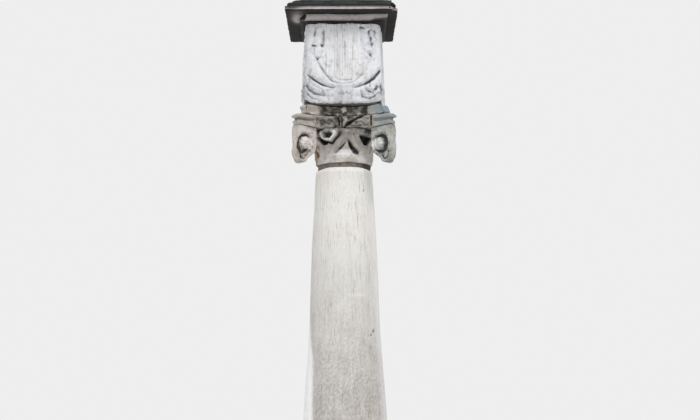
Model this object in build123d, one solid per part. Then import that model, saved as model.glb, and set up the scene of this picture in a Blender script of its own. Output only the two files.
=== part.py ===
from build123d import *
import math
import os

# A wayside shrine: a stepped base, a pedestal, one tapering column with a carved capital, and a square
# head block with carved drapery under a moulded cornice, a stone roof and an iron cross.
# Millimetres, +Z up. The front looks along -Y, and the ground under the column's axis is the origin.

# Heights of the courses, from the ground up
lower_step_height = 150
upper_step_height = 150
bed_joint = 6
pedestal_base_height = 100
pedestal_height = 340
pedestal_cap_height = 100
plinth_height = 80
column_base_height = 100
shaft_height = 1550
neck_joint_height = 27
bell_height = 201
abacus_height = 71
seat_height = 63
head_height = 490
bed_moulding_height = 44
crown_height = 56
roof_height = 190

# Steps and pedestal
lower_step_width = 1240
lower_stone_depth = 380
upper_step_width = 960
step_wear = 12
joint_inset = 9
pedestal_width = 600
pedestal_base_width = 760
pedestal_cap_width = 770
panel_margin = 85
panel_depth = 14

# Column
plinth_width = 630
torus_radius = 305
upper_torus_radius = 286
collar_step = 18
shaft_foot_radius = 254
shaft_belly_radius = 212
shaft_entasis = 6
shaft_top_radius = 172
belly_share = 0.38
neck_inset = 14

# Capital
necking_radius = 173
bell_lip_radius = 206
horn_reach = 408
horn_width = 66
abacus_waist = 212
abacus_groove = 16
seat_foot_reach = 372
seat_top_reach = 330
seat_waist = 196
volute_width = 52
volute_outer = 407
volute_inner = 251
volute_drop = 222
inner_break_drop = 52
outer_break_drop = 100
channel_depth = 14
eye_radius = 33
eye_relief = 11
eye_taper = 30
eye_stroke = 24
stem_width = 30
stem_relief = 12
notch_depth = 14
hollow_swing = 38
hollow_width = 92
hollow_level = 134
hollow_depth = 42
fleuron_radius = 30
fleuron_relief = 14

# Head block, relief and cornice
head_foot_width = 484
head_top_width = 446
head_corner = 14
cloth_relief = 9
swag_relief = 14
cloth_stroke = 45
bed_moulding_projection = 42
crown_width = 668
crown_fillet_height = 25
crown_setback = 14
cornice_creep = -12

# Roof and cross
roof_eaves = 596
roof_waist = 150
socket_width = 134
socket_height = 104
cross_bar = 34
cross_thickness = 16
cross_height = 420
cross_span = 270
cross_arm_level = 270

courses = [
    ("lower_step", lower_step_height),
    ("upper_step", upper_step_height),
    ("pedestal_mortar", bed_joint),
    ("pedestal_base", pedestal_base_height),
    ("pedestal", pedestal_height),
    ("pedestal_cap", pedestal_cap_height),
    ("plinth_mortar", bed_joint),
    ("plinth", plinth_height),
    ("column_base", column_base_height),
    ("shaft_mortar", bed_joint),
    ("shaft", shaft_height),
    ("neck_joint", neck_joint_height),
    ("bell", bell_height),
    ("abacus", abacus_height),
    ("seat", seat_height),
    ("head_mortar", bed_joint),
    ("head", head_height),
    ("bed_moulding", bed_moulding_height),
    ("crown", crown_height),
    ("roof", roof_height),
]
level = {}
course_level = 0
for course, course_height in courses:
    level[course] = course_level
    course_level += course_height
roof_top = course_level

pieces = {}
seat_align = (Align.CENTER, Align.CENTER, Align.MIN)
sides = {"front": 0, "right": 90, "back": 180, "left": 270}
corners = {"front_right": 0, "back_right": 90, "back_left": 180, "front_left": 270}


def square_solid(half_profile, reach):
    """A square block whose four sides follow one half profile of distances from the axis and heights."""
    outline = make_face(half_profile + mirror(half_profile, about=Plane.YZ))
    prism = extrude(Plane.XZ * outline, amount=reach, both=True)
    return prism & (Rot(0, 0, 90) * prism)


def square_block(width, height):
    return Box(width, width, height, align=seat_align)


def round_solid(half_profile):
    return revolve(Plane.XZ * make_face(half_profile), Axis.Z)


def mortar_bed(name, width):
    pieces[name] = Pos(0, 0, level[name]) * square_block(width - 2 * joint_inset, bed_joint)


# Steps: four long stones chase each other round a core, and two slabs lie over them
def lower_step_stone(turn):
    length = lower_step_width - lower_stone_depth
    corner = (Align.MIN, Align.MIN, Align.MIN)
    stone = Box(length, lower_stone_depth, lower_step_height, align=corner)
    stone = fillet(stone.edges().group_by(Axis.Z)[-1], step_wear)
    return Rot(0, 0, turn) * Pos(-lower_step_width / 2, -lower_step_width / 2, 0) * stone


def upper_step_slab(turn):
    ends = (Align.MIN, Align.CENTER, Align.MIN)
    slab = Box(upper_step_width / 2, upper_step_width, upper_step_height, align=ends)
    slab = fillet(slab.edges().group_by(Axis.Z)[-1], step_wear)
    return Rot(0, 0, turn) * Pos(0, 0, level["upper_step"]) * slab


for side, turn in sides.items():
    pieces[f"lower_step_{side}"] = lower_step_stone(turn)
core_width = lower_step_width - 2 * lower_stone_depth
pieces["step_core"] = square_block(core_width, lower_step_height)
pieces["upper_step_right"] = upper_step_slab(0)
pieces["upper_step_left"] = upper_step_slab(180)


# Pedestal: a moulded base, a square die with a sunk panel on each side, and a moulded cap
def pedestal_base():
    wide, narrow = pedestal_base_width / 2, pedestal_width / 2
    foot = 0.45 * pedestal_base_height
    lip = 0.88 * pedestal_base_height
    shoulder = wide - 14
    profile = Polyline((0, 0), (wide, 0), (wide, foot), (shoulder, foot))
    hollow = (narrow + 0.28 * (shoulder - narrow), foot + 0.3 * (lip - foot))
    profile += ThreePointArc((shoulder, foot), hollow, (narrow + 8, lip))
    profile += Polyline((narrow + 8, lip), (narrow, lip), (narrow, pedestal_base_height))
    profile += Line((narrow, pedestal_base_height), (0, pedestal_base_height))
    return Pos(0, 0, level["pedestal_base"]) * square_solid(profile, wide)


def pedestal():
    block = square_block(pedestal_width, pedestal_height)
    panel_width = pedestal_width - 2 * panel_margin
    panel = Box(panel_width, 2 * panel_depth, pedestal_height - 2 * panel_margin)
    for turn in sides.values():
        block -= Rot(0, 0, turn) * Pos(0, -pedestal_width / 2, pedestal_height / 2) * panel
    return Pos(0, 0, level["pedestal"]) * block


def pedestal_cap():
    wide, narrow = pedestal_cap_width / 2, pedestal_width / 2
    neck = 0.12 * pedestal_cap_height
    soffit = 0.52 * pedestal_cap_height
    drip = 0.84 * pedestal_cap_height
    profile = Polyline((0, 0), (narrow + 8, 0), (narrow + 8, neck))
    hollow = (narrow + 0.3 * (wide - narrow), soffit - 0.3 * (soffit - neck))
    profile += ThreePointArc((narrow + 8, neck), hollow, (wide - 22, soffit))
    shoulder = (narrow + 15, pedestal_cap_height)
    profile += Polyline((wide - 22, soffit), (wide, soffit), (wide, drip), shoulder)
    profile += Line(shoulder, (0, pedestal_cap_height))
    return Pos(0, 0, level["pedestal_cap"]) * square_solid(profile, wide)


mortar_bed("pedestal_mortar", pedestal_base_width)
pieces["pedestal_base"] = pedestal_base()
pieces["pedestal"] = pedestal()
pieces["pedestal_cap"] = pedestal_cap()


# Column: a square plinth, a base of two rolls with a hollow between, and one tapering shaft
def plinth():
    block = square_block(plinth_width, plinth_height)
    return Pos(0, 0, level["plinth"]) * fillet(block.edges().group_by(Axis.Z)[-1], step_wear / 2)


def column_base():
    """Upwards: a full roll, a fillet, a slanted hollow and a flat collar that the shaft stands on."""
    roll = 0.44 * column_base_height
    fillet_top = 0.54 * column_base_height
    collar_foot = 0.80 * column_base_height
    waist = upper_torus_radius - collar_step
    collar = waist + collar_step / 2
    profile = Polyline(
        (0, 0),
        (torus_radius - roll / 2, 0),
        (torus_radius, 0.3 * roll),
        (torus_radius, 0.7 * roll),
        (torus_radius - roll / 2, roll),
        (upper_torus_radius, roll),
        (upper_torus_radius, fillet_top),
        (waist, collar_foot),
        (collar, collar_foot),
        (collar, column_base_height),
        (0, column_base_height),
        (0, 0),
    )
    return Pos(0, 0, level["column_base"]) * round_solid(profile)


def shaft_radius(share):
    """The radius at a share of the height: a straight taper below the belly and a swelling one above."""
    if share < belly_share:
        along = share / belly_share
        return shaft_foot_radius + (shaft_belly_radius - shaft_foot_radius) * along
    along = (share - belly_share) / (1 - belly_share)
    taper = shaft_belly_radius + (shaft_top_radius - shaft_belly_radius) * along
    return taper + 4 * shaft_entasis * along * (1 - along)


def shaft():
    """Three cones whose slopes change a little, so that the taper swells."""
    shares = [0, belly_share, (1 + belly_share) / 2, 1]
    side = [(shaft_radius(share), share * shaft_height) for share in shares]
    return Pos(0, 0, level["shaft"]) * round_solid(Polyline((0, 0), *side, (0, shaft_height), (0, 0)))


mortar_bed("plinth_mortar", plinth_width)
pieces["plinth"] = plinth()
pieces["column_base"] = column_base()
foot_bed = Cylinder(shaft_foot_radius - joint_inset, bed_joint, align=seat_align)
pieces["shaft_mortar"] = Pos(0, 0, level["shaft_mortar"]) * foot_bed
pieces["shaft"] = shaft()
neck_ring = Cylinder(shaft_top_radius - neck_inset, neck_joint_height, align=seat_align)
pieces["neck_joint"] = Pos(0, 0, level["neck_joint"]) * neck_ring


# Capital: a drum that swells to a lip, with crossed stems, a split leaf and deep hollows on each side
def bell_skin(growth):
    """The drum with its side moved out by growth: straight below, then widening to the lip."""
    foot = (necking_radius + growth, 0)
    straight = (necking_radius + growth, 0.52 * bell_height)
    lip = (bell_lip_radius + growth, 0.94 * bell_height)
    edge = (bell_lip_radius + growth, bell_height)
    return round_solid(Polyline((0, bell_height), (0, 0), foot, straight, lip, edge, (0, bell_height)))


def bell():
    """The drum, with crossed stems standing out and a split leaf and eight deep hollows cut in."""
    drum = bell_skin(0)
    skin = bell_skin(stem_relief)
    crossing = (0, 0.80 * bell_height)
    leg_foot = (0.46 * necking_radius, 0.34 * bell_height)
    arm_tip = (0.80 * necking_radius, bell_height)
    limbs = trace(Polyline(leg_foot, crossing, (-arm_tip[0], arm_tip[1])), stem_width)
    limbs += mirror(limbs, about=Plane.YZ)
    stems = extrude(Plane.XZ * limbs, amount=2 * necking_radius) & skin
    apex, crotch = (0, 0.62 * bell_height), (0, 0.50 * bell_height)
    heel = (0.31 * necking_radius, 0.30 * bell_height)
    toe = (0.16 * necking_radius, 0.33 * bell_height)
    notch_half = Polyline(apex, heel, toe, crotch)
    notch_outline = make_face(notch_half + mirror(notch_half, about=Plane.YZ))
    notch = extrude(Plane.XZ.offset(necking_radius - notch_depth) * notch_outline, amount=2 * notch_depth)
    hollow_floor = Plane.XZ.offset(necking_radius - hollow_depth)
    almond = Polyline((-hollow_width / 2, 0), (-hollow_width / 6, hollow_width / 4), (hollow_width / 2, 0))
    hollow_outline = Pos(0, hollow_level) * make_face(almond + mirror(almond, about=Plane.XZ))
    hollow = extrude(hollow_floor * hollow_outline, amount=2 * hollow_depth)
    for turn in sides.values():
        place = Rot(0, 0, turn)
        drum += place * stems
        drum -= place * notch
    for turn in sides.values():
        for swing in (-hollow_swing, hollow_swing):
            drum -= Rot(0, 0, turn + swing) * hollow
    return Pos(0, 0, level["bell"]) * drum


def horned_plan(reach, tip_width, waist):
    """A square with hollow sides and blunt horns: reach is along the diagonal, waist to the mid side."""
    near = (reach - tip_width / 2) / math.sqrt(2)
    far = (reach + tip_width / 2) / math.sqrt(2)
    side_arc = ThreePointArc((-near, -far), (0, -waist), (near, -far))
    tip = Line((near, -far), (far, -near))
    outline = Curve()
    for turn in range(0, 360, 90):
        outline += Rot(0, 0, turn) * side_arc
        outline += Rot(0, 0, turn) * tip
    return make_face(outline)


def abacus():
    """A slab in two tiers, the upper one standing further out."""
    lower = 0.58 * abacus_height
    foot = horned_plan(horn_reach - abacus_groove, horn_width, abacus_waist - abacus_groove)
    crest = horned_plan(horn_reach, horn_width, abacus_waist)
    slab = extrude(foot, amount=lower)
    slab += Pos(0, 0, lower) * extrude(crest, amount=abacus_height - lower)
    return Pos(0, 0, level["abacus"]) * slab


def head_seat():
    plan = horned_plan(seat_foot_reach, horn_width, seat_waist)
    spurs = extrude(plan, amount=seat_height)
    foot_width = math.sqrt(2) * (seat_foot_reach + horn_width / 2)
    top_width = math.sqrt(2) * (seat_top_reach + horn_width / 2)
    foot_square = Rectangle(foot_width, foot_width)
    top_square = Pos(0, 0, seat_height) * Rectangle(top_width, top_width)
    slopes = loft([foot_square, top_square])
    return Pos(0, 0, level["seat"]) * (spurs & slopes)


def chiselled_round(radius, stroke):
    """A round cut in straight strokes of about one length, as carving is blocked out."""
    return RegularPolygon(radius, max(8, round(2 * math.pi * radius / stroke)))


def volute():
    """One hanging scroll, drawn in the plane of the diagonal with the abacus's underside as level 0."""
    curl = volute_drop / 5
    foot = (volute_outer - curl, -volute_drop)
    shoulder = (volute_outer, curl - volute_drop)
    heel = (volute_outer - 1.9 * curl, 0.6 * curl - volute_drop)
    inner = (volute_inner, -0.52 * volute_drop)
    flank = (volute_inner + 0.35 * curl, -0.70 * volute_drop)
    outline = Polyline(inner, (volute_inner, 0), (volute_outer - 12, 0), shoulder)
    outline += ThreePointArc(shoulder, foot, heel)
    outline += ThreePointArc(heel, flank, inner)
    scroll = extrude(Plane.XZ * make_face(outline), amount=volute_width / 2, both=True)
    eye_reach = (volute_inner + volute_outer) / 2 + 12
    eye_level = -0.52 * volute_drop
    channel = Pos(eye_reach + 8, eye_level + 5) * chiselled_round(eye_radius + 19, eye_stroke)
    channel -= Pos(eye_reach, eye_level) * chiselled_round(eye_radius + 6, eye_stroke)
    eye = Pos(eye_reach, eye_level) * chiselled_round(eye_radius, eye_stroke)
    for face in (-1, 1):
        cheek = Plane.XZ.offset(face * (volute_width / 2 - channel_depth))
        scroll -= extrude(cheek * channel, amount=face * 2 * channel_depth)
        scroll += extrude(cheek * eye, amount=face * (channel_depth + eye_relief), taper=eye_taper)
    return scroll


def broken(scroll):
    """A scroll that has lost its end, along a slanted break."""
    beyond = volute_width
    lost = Polyline(
        (volute_inner - beyond, -inner_break_drop),
        (volute_inner, -inner_break_drop),
        (volute_outer, -outer_break_drop),
        (volute_outer + beyond, -outer_break_drop),
        (volute_outer + beyond, -volute_drop - beyond),
        (volute_inner - beyond, -volute_drop - beyond),
        (volute_inner - beyond, -inner_break_drop),
    )
    return scroll - extrude(Plane.XZ * make_face(lost), amount=volute_width, both=True)


def fleuron():
    """A five-petalled flower with a raised heart, on the mid side of the seat."""
    half_petal = Polyline((0, 0), (0.55 * fleuron_radius, 0.40 * fleuron_radius), (fleuron_radius, 0))
    petal = make_face(half_petal + mirror(half_petal, about=Plane.XZ))
    petals = RegularPolygon(0.45 * fleuron_radius, 10)
    for turn in range(90, 450, 72):
        petals += Rot(0, 0, turn) * petal
    root = Plane.XZ.offset(seat_waist - fleuron_relief)
    flower = extrude(root * petals, amount=2 * fleuron_relief)
    heart = RegularPolygon(0.32 * fleuron_radius, 10)
    flower += extrude(root * heart, amount=2.6 * fleuron_relief)
    return Pos(0, 0, level["seat"] + seat_height / 2) * flower - pieces["head_seat"]


pieces["capital_bell"] = bell()
pieces["abacus"] = abacus()
pieces["head_seat"] = head_seat()
scroll = volute()
for corner, turn in corners.items():
    place = Rot(0, 0, turn - 45) * Pos(0, 0, level["abacus"])
    pieces[f"volute_{corner}"] = place * (broken(scroll) if corner.startswith("back") else scroll)
flower = fleuron()
for side, turn in sides.items():
    pieces[f"fleuron_{side}"] = Rot(0, 0, turn) * flower


# Head block: a square stone that tapers up, with a hanging cloth carved on each side
def head_profile(growth):
    foot = (head_foot_width / 2 + growth, 0)
    top = (head_top_width / 2 + growth, head_height)
    return Polyline((0, 0), foot, top, (0, head_height))


def head_block():
    """A square with worn, bevelled corners, drawn up to its smaller top."""
    lean = math.degrees(math.atan2((head_foot_width - head_top_width) / 2, head_height))
    foot = Rectangle(head_foot_width, head_foot_width)
    return extrude(chamfer(foot.vertices(), head_corner), amount=head_height, taper=lean)


def cloth():
    """The carved cloth of one side: a hanging belly, a fold swept up to both corners, and two tied ends."""
    wide = head_foot_width / 2 - 2.4 * head_corner
    hem = 0.03 * head_height
    top = 0.96 * head_height
    belly_radius = 0.60 * wide
    belly_level = hem + 1.2 * belly_radius
    belly = Pos(0, belly_level) * chiselled_round(belly_radius, cloth_stroke)
    belly += Pos(0, (belly_level + top) / 2) * Rectangle(2 * belly_radius, top - belly_level)
    fold = Pos(0, hem + 1.06 * wide) * chiselled_round(1.06 * wide, cloth_stroke)
    fold -= Pos(0, hem + 1.32 * wide) * chiselled_round(1.12 * wide, cloth_stroke)
    fold &= Pos(0, hem + 0.3 * wide) * Rectangle(2 * wide, 0.8 * wide)
    low_skin = square_solid(head_profile(cloth_relief), head_foot_width)
    high_skin = square_solid(head_profile(swag_relief), head_foot_width)
    reach = head_foot_width / 2 + swag_relief
    carved = extrude(Plane.XZ * belly, amount=reach) & low_skin
    carved += extrude(Plane.XZ * fold, amount=reach) & high_skin
    tied_end = chamfer(Rectangle(0.28 * wide, 0.34 * head_height).vertices(), 0.1 * wide)
    for hand in (-1, 1):
        place = Pos(hand * 0.78 * wide, 0.78 * head_height)
        carved += extrude(Plane.XZ * place * tied_end, amount=reach) & high_skin
    return carved


head_place = Pos(0, 0, level["head"])
mortar_bed("head_mortar", math.sqrt(2) * seat_top_reach)
block = head_block()
pieces["head_block"] = head_place * block
relief = cloth() - block
for side, turn in sides.items():
    pieces[f"drapery_{side}"] = head_place * Rot(0, 0, turn) * relief


# Cornice and top: a bed moulding, a wide crown that has crept to the left, a swept roof and a cross
def bed_moulding():
    foot = head_top_width / 2 + 6
    crest = head_top_width / 2 + bed_moulding_projection
    profile = Polyline((0, 0), (foot, 0), (foot, 8))
    belly = (foot + 0.72 * (crest - foot), 8 + 0.3 * (bed_moulding_height - 14))
    profile += ThreePointArc((foot, 8), belly, (crest, bed_moulding_height - 6))
    profile += Line((crest, bed_moulding_height - 6), (crest, bed_moulding_height))
    profile += Line((crest, bed_moulding_height), (0, bed_moulding_height))
    return Pos(0, 0, level["bed_moulding"]) * square_solid(profile, crest)


def crown():
    wide = crown_width / 2
    inner = wide - crown_setback
    profile = Polyline((0, 0), (wide, 0), (wide, crown_fillet_height), (inner, crown_fillet_height + 3))
    cap_edge = (inner - 8, crown_height)
    profile += ThreePointArc((inner, crown_fillet_height + 3), (inner - 1, crown_height - 12), cap_edge)
    profile += Line(cap_edge, (0, crown_height))
    return Pos(cornice_creep, 0, level["crown"]) * square_solid(profile, wide)


def roof():
    eaves, waist = roof_eaves / 2, roof_waist / 2
    lip = 16
    profile = Polyline((0, 0), (eaves, 0), (eaves, lip))
    hollow = (waist + 0.4 * (eaves - waist), lip + 0.42 * (roof_height - lip))
    profile += ThreePointArc((eaves, lip), hollow, (waist, roof_height))
    profile += Line((waist, roof_height), (0, roof_height))
    return Pos(cornice_creep, 0, level["roof"]) * square_solid(profile, eaves)


def cross_socket():
    """A small square stone with a hollow neck, on the flat top of the roof."""
    wide, narrow = socket_width / 2, socket_width / 2 - 18
    profile = Polyline((0, 0), (narrow, 0), (narrow, 10))
    shelf, shoulder = 0.8 * socket_height - 8, 0.8 * socket_height
    profile += ThreePointArc((narrow, 10), (narrow - 14, 0.45 * socket_height), (narrow, shelf))
    profile += Polyline((narrow, shelf), (wide - 8, shelf), (wide - 8, shoulder), (cross_bar, socket_height))
    profile += Line((cross_bar, socket_height), (0, socket_height))
    return Pos(cornice_creep, 0, roof_top) * square_solid(profile, wide)


def cross():
    """A flat forged cross with flared ends, standing on the socket."""
    iron = Pos(0, cross_height / 2) * Rectangle(cross_bar, cross_height)
    iron += Pos(0, cross_arm_level) * Rectangle(cross_span, cross_bar)
    half_span, half_bar, root = cross_span / 2, cross_bar / 2, -2 * cross_bar
    edge = Polyline((0, root), (half_bar, root), (cross_bar, 0), (0, 0))
    flare = make_face(edge + mirror(edge, about=Plane.YZ))
    tips = [(0, cross_height, 0), (-half_span, cross_arm_level, 90), (half_span, cross_arm_level, -90)]
    for across, up, turn in tips:
        iron += Pos(across, up) * Rot(0, 0, turn) * flare
    upright = extrude(Plane.XZ * iron, amount=cross_thickness / 2, both=True)
    return Pos(cornice_creep, 0, roof_top + socket_height) * upright


pieces["bed_moulding"] = bed_moulding()
pieces["crown"] = crown()
pieces["roof"] = roof()
pieces["cross_socket"] = cross_socket()
pieces["cross"] = cross()

os.makedirs("parts", exist_ok=True)
for name, piece in pieces.items():
    export_step(piece, f"parts/{name}.step")
    print(name, round(piece.volume), piece.bounding_box().size)
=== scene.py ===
import math

import bpy
import numpy as np
from mathutils import Matrix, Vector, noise


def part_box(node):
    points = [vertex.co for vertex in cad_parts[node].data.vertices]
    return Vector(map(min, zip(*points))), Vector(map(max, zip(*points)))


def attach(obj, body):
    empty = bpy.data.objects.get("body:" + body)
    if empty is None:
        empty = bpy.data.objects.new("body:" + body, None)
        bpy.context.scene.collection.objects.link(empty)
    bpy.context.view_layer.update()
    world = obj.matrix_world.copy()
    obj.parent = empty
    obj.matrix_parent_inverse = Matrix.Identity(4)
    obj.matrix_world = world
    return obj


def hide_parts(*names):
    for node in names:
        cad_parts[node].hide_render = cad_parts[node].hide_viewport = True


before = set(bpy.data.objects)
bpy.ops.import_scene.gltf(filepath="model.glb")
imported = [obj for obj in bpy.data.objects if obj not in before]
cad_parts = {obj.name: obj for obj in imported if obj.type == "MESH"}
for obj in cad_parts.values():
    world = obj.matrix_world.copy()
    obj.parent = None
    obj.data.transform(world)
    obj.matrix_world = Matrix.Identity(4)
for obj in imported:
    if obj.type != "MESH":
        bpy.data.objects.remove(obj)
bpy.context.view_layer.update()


# Studio: the shrine stands on a plain pale floor in soft light. The camera stands at eye height, 6 m in
# front of the column, and looks up a little, so that the picture runs from the lower shaft to the cornice.
def feed(tree, socket, value):
    """Links a socket to the one that it is given, or sets it to a plain value."""
    if isinstance(value, bpy.types.NodeSocket):
        tree.links.new(value, socket)
    else:
        socket.default_value = value


def place(tree, kind, settings=None, **inputs):
    """One shader node with its settings, and with its inputs by name."""
    node = tree.nodes.new("ShaderNode" + kind)
    for name, value in (settings or {}).items():
        setattr(node, name, value)
    for name, value in inputs.items():
        feed(tree, node.inputs[name.replace("_", " ")], value)
    return node


def maths(tree, operation, *values):
    node = place(tree, "Math", {"operation": operation})
    for socket, value in zip(node.inputs, values):
        feed(tree, socket, value)
    return node.outputs[0]


eye_height, eye_distance = 1.6, 6.0
look_up, look_right, head_tilt = math.radians(7.125), math.radians(0.33), math.radians(0.27)
picture_width, focal_pixels = 700, 1000
camera_data = bpy.data.cameras.new("eye_level")
camera_data.sensor_width = 36
camera_data.lens = camera_data.sensor_width * focal_pixels / picture_width
camera = bpy.data.objects.new("eye_level", camera_data)
aim = Matrix.Rotation(-look_right, 4, "Z") @ Matrix.Rotation(math.pi / 2 + look_up, 4, "X")
aim = aim @ Matrix.Rotation(-head_tilt, 4, "Z")
camera.matrix_world = Matrix.Translation((0, -eye_distance, eye_height)) @ aim
bpy.context.scene.collection.objects.link(camera)
bpy.context.scene.camera = camera
bpy.context.scene.view_settings.view_transform = "Standard"

sky_light, backdrop_tone = 0.66, 0.86
world = bpy.data.worlds.new("studio")
bpy.context.scene.world = world
world.use_nodes = True
sky = world.node_tree
light = sky.nodes["Background"]
feed(sky, light.inputs["Color"], (1.0, 1.0, 1.0, 1.0))
feed(sky, light.inputs["Strength"], sky_light)
backdrop = place(sky, "Background", Color=(backdrop_tone, backdrop_tone, backdrop_tone, 1.0))
path = place(sky, "LightPath").outputs
seen_by_camera = maths(sky, "MAXIMUM", path["Is Camera Ray"], path["Is Glossy Ray"])
chosen = place(sky, "MixShader")
for socket, source in zip(chosen.inputs, (seen_by_camera, light.outputs[0], backdrop.outputs[0])):
    feed(sky, socket, source)
feed(sky, sky.nodes["World Output"].inputs["Surface"], chosen.outputs[0])

for name, azimuth, elevation, strength, softness in [("key", 24, 52, 1.6, 22), ("fill", -40, 20, 0.52, 60)]:
    lamp = bpy.data.lights.new(name, "SUN")
    lamp.energy = strength
    lamp.angle = math.radians(softness)
    lamp_object = bpy.data.objects.new(name, lamp)
    turn, tilt = math.radians(azimuth), math.radians(90 - elevation)
    lamp_object.rotation_euler = (tilt, 0, turn)
    bpy.context.scene.collection.objects.link(lamp_object)

floor_radius = 12.0
bpy.ops.mesh.primitive_circle_add(vertices=96, radius=floor_radius, fill_type="NGON", location=(0, 0, 0))
floor = bpy.context.object
floor.name = "studio_floor"
floor_paint = bpy.data.materials.new("studio_floor")
floor_paint.use_nodes = True
floor_shader = floor_paint.node_tree.nodes["Principled BSDF"]
floor_shader.inputs["Base Color"].default_value = (0.78, 0.78, 0.77, 1)
floor_shader.inputs["Roughness"].default_value = 0.9
floor.data.materials.append(floor_paint)


# Lower step: four long limestone blocks that chase each other round a core. They are sawn by hand, their
# arrises are worn and chipped, and soot, moss and rain have coloured them. They lie dry on the ground.
def times(tree, first, second):
    return maths(tree, "MULTIPLY", first, second)


def mixed(tree, share, below, above):
    """Two colours mixed by a share from 0 to 1."""
    node = place(tree, "Mix", {"data_type": "RGBA"})
    for number, value in ((0, share), (6, below), (7, above)):
        feed(tree, node.inputs[number], value)
    return node.outputs[2]


def between(tree, value, low, high):
    """0 below low, 1 above high, and a smooth rise between."""
    settings = {"interpolation_type": "SMOOTHSTEP"}
    return place(tree, "MapRange", settings, Value=value, From_Min=low, From_Max=high).outputs[0]


def cloud(tree, where, size, detail=4.0, roughness=0.55):
    """Cloudy noise whose lumps are about one size across, in metres."""
    inputs = {"Vector": where, "Scale": 1 / size, "Detail": detail, "Roughness": roughness}
    return place(tree, "TexNoise", **inputs).outputs["Fac"]


def mark(tree, name):
    """The values that are drawn on the mesh under this name."""
    return place(tree, "Attribute", {"attribute_name": name}).outputs["Fac"]


def own_place(tree):
    return place(tree, "TexCoord").outputs["Object"]


def facing_up(tree):
    return place(tree, "SeparateXYZ", Vector=place(tree, "NewGeometry").outputs["Normal"]).outputs["Z"]


def node_group(name, inputs, draw):
    """A group of shader nodes with named inputs. The draw function fills it and returns its outputs."""
    tree = bpy.data.node_groups.new(name, "ShaderNodeTree")
    for label, value in inputs.items():
        kind = "NodeSocketColor" if isinstance(value, tuple) else "NodeSocketFloat"
        tree.interface.new_socket(label, in_out="INPUT", socket_type=kind).default_value = value
    outputs = draw(tree, tree.nodes.new("NodeGroupInput").outputs)
    for label in outputs:
        kind = "NodeSocketColor" if label == "Color" else "NodeSocketFloat"
        tree.interface.new_socket(label, in_out="OUTPUT", socket_type=kind)
    made = tree.nodes.new("NodeGroupOutput").inputs
    for label, source in outputs.items():
        tree.links.new(source, made[label])
    return tree


def draw_grain(tree, given):
    """The stone's own body: cloudy beds of colour, coarse sand grains, and small open pits."""
    where = own_place(tree)
    broad = place(tree, "VectorMath", {"operation": "SCALE"}, Vector=where, Scale=given["Mottle Size"])
    mottle = between(tree, cloud(tree, broad.outputs[0], 0.13, 7, 0.62), 0.34, 0.66)
    sand = cloud(tree, where, 0.0045, 5, 0.7)
    cells = place(tree, "TexVoronoi", Vector=where, Scale=1 / 0.012, Randomness=1.0)
    open_cell = between(tree, cells.outputs["Distance"], 0.34, 0.12)
    few = between(tree, cloud(tree, where, 0.05, 3), 0.52, 0.66)
    return {"Mottle": mottle, "Sand": sand, "Pits": times(tree, open_cell, few)}


def draw_streaks(tree, given):
    """Marks that run down an upright face: fine chisel lines, and broader rain stains."""
    where = own_place(tree)
    fine = place(tree, "Mapping", Vector=where, Scale=(1, 1, 0.035)).outputs[0]
    slow = place(tree, "Mapping", Vector=where, Scale=(1, 1, 0.12)).outputs[0]
    rain = between(tree, cloud(tree, slow, 0.05, 5, 0.6), 0.45, 0.70)
    steep = between(tree, maths(tree, "ABSOLUTE", facing_up(tree)), 0.75, 0.35)
    return {"Chisel": cloud(tree, fine, 0.006, 4, 0.65), "Rain": times(tree, rain, steep)}


def draw_growth(tree, given):
    """Moss on top faces and in joints, where the water stays."""
    lying = between(tree, facing_up(tree), 0.2, 0.9)
    wet = maths(tree, "ADD", times(tree, lying, 0.5), times(tree, mark(tree, "hollow"), 0.35))
    wet = times(tree, maths(tree, "ADD", wet, mark(tree, "damp")), given["Moss"])
    level = maths(tree, "ADD", cloud(tree, own_place(tree), 0.07, 6, 0.68), wet)
    return {"Mask": between(tree, level, 0.70, 0.92)}


stone_grain = node_group("stone grain", {"Mottle Size": 1.0}, draw_grain)
upright_streaks = node_group("upright streaks", {}, draw_streaks)
moss_growth = node_group("moss", {"Moss": 0.3}, draw_growth)


def tint(red, green, blue):
    """A colour from 0 to 255 as it is seen, as the linear values that a shader takes."""
    seen = np.array([red, green, blue]) / 255
    linear = np.where(seen > 0.04045, ((seen + 0.055) / 1.055) ** 2.4, seen / 12.92)
    return (*linear.tolist(), 1.0)


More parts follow.
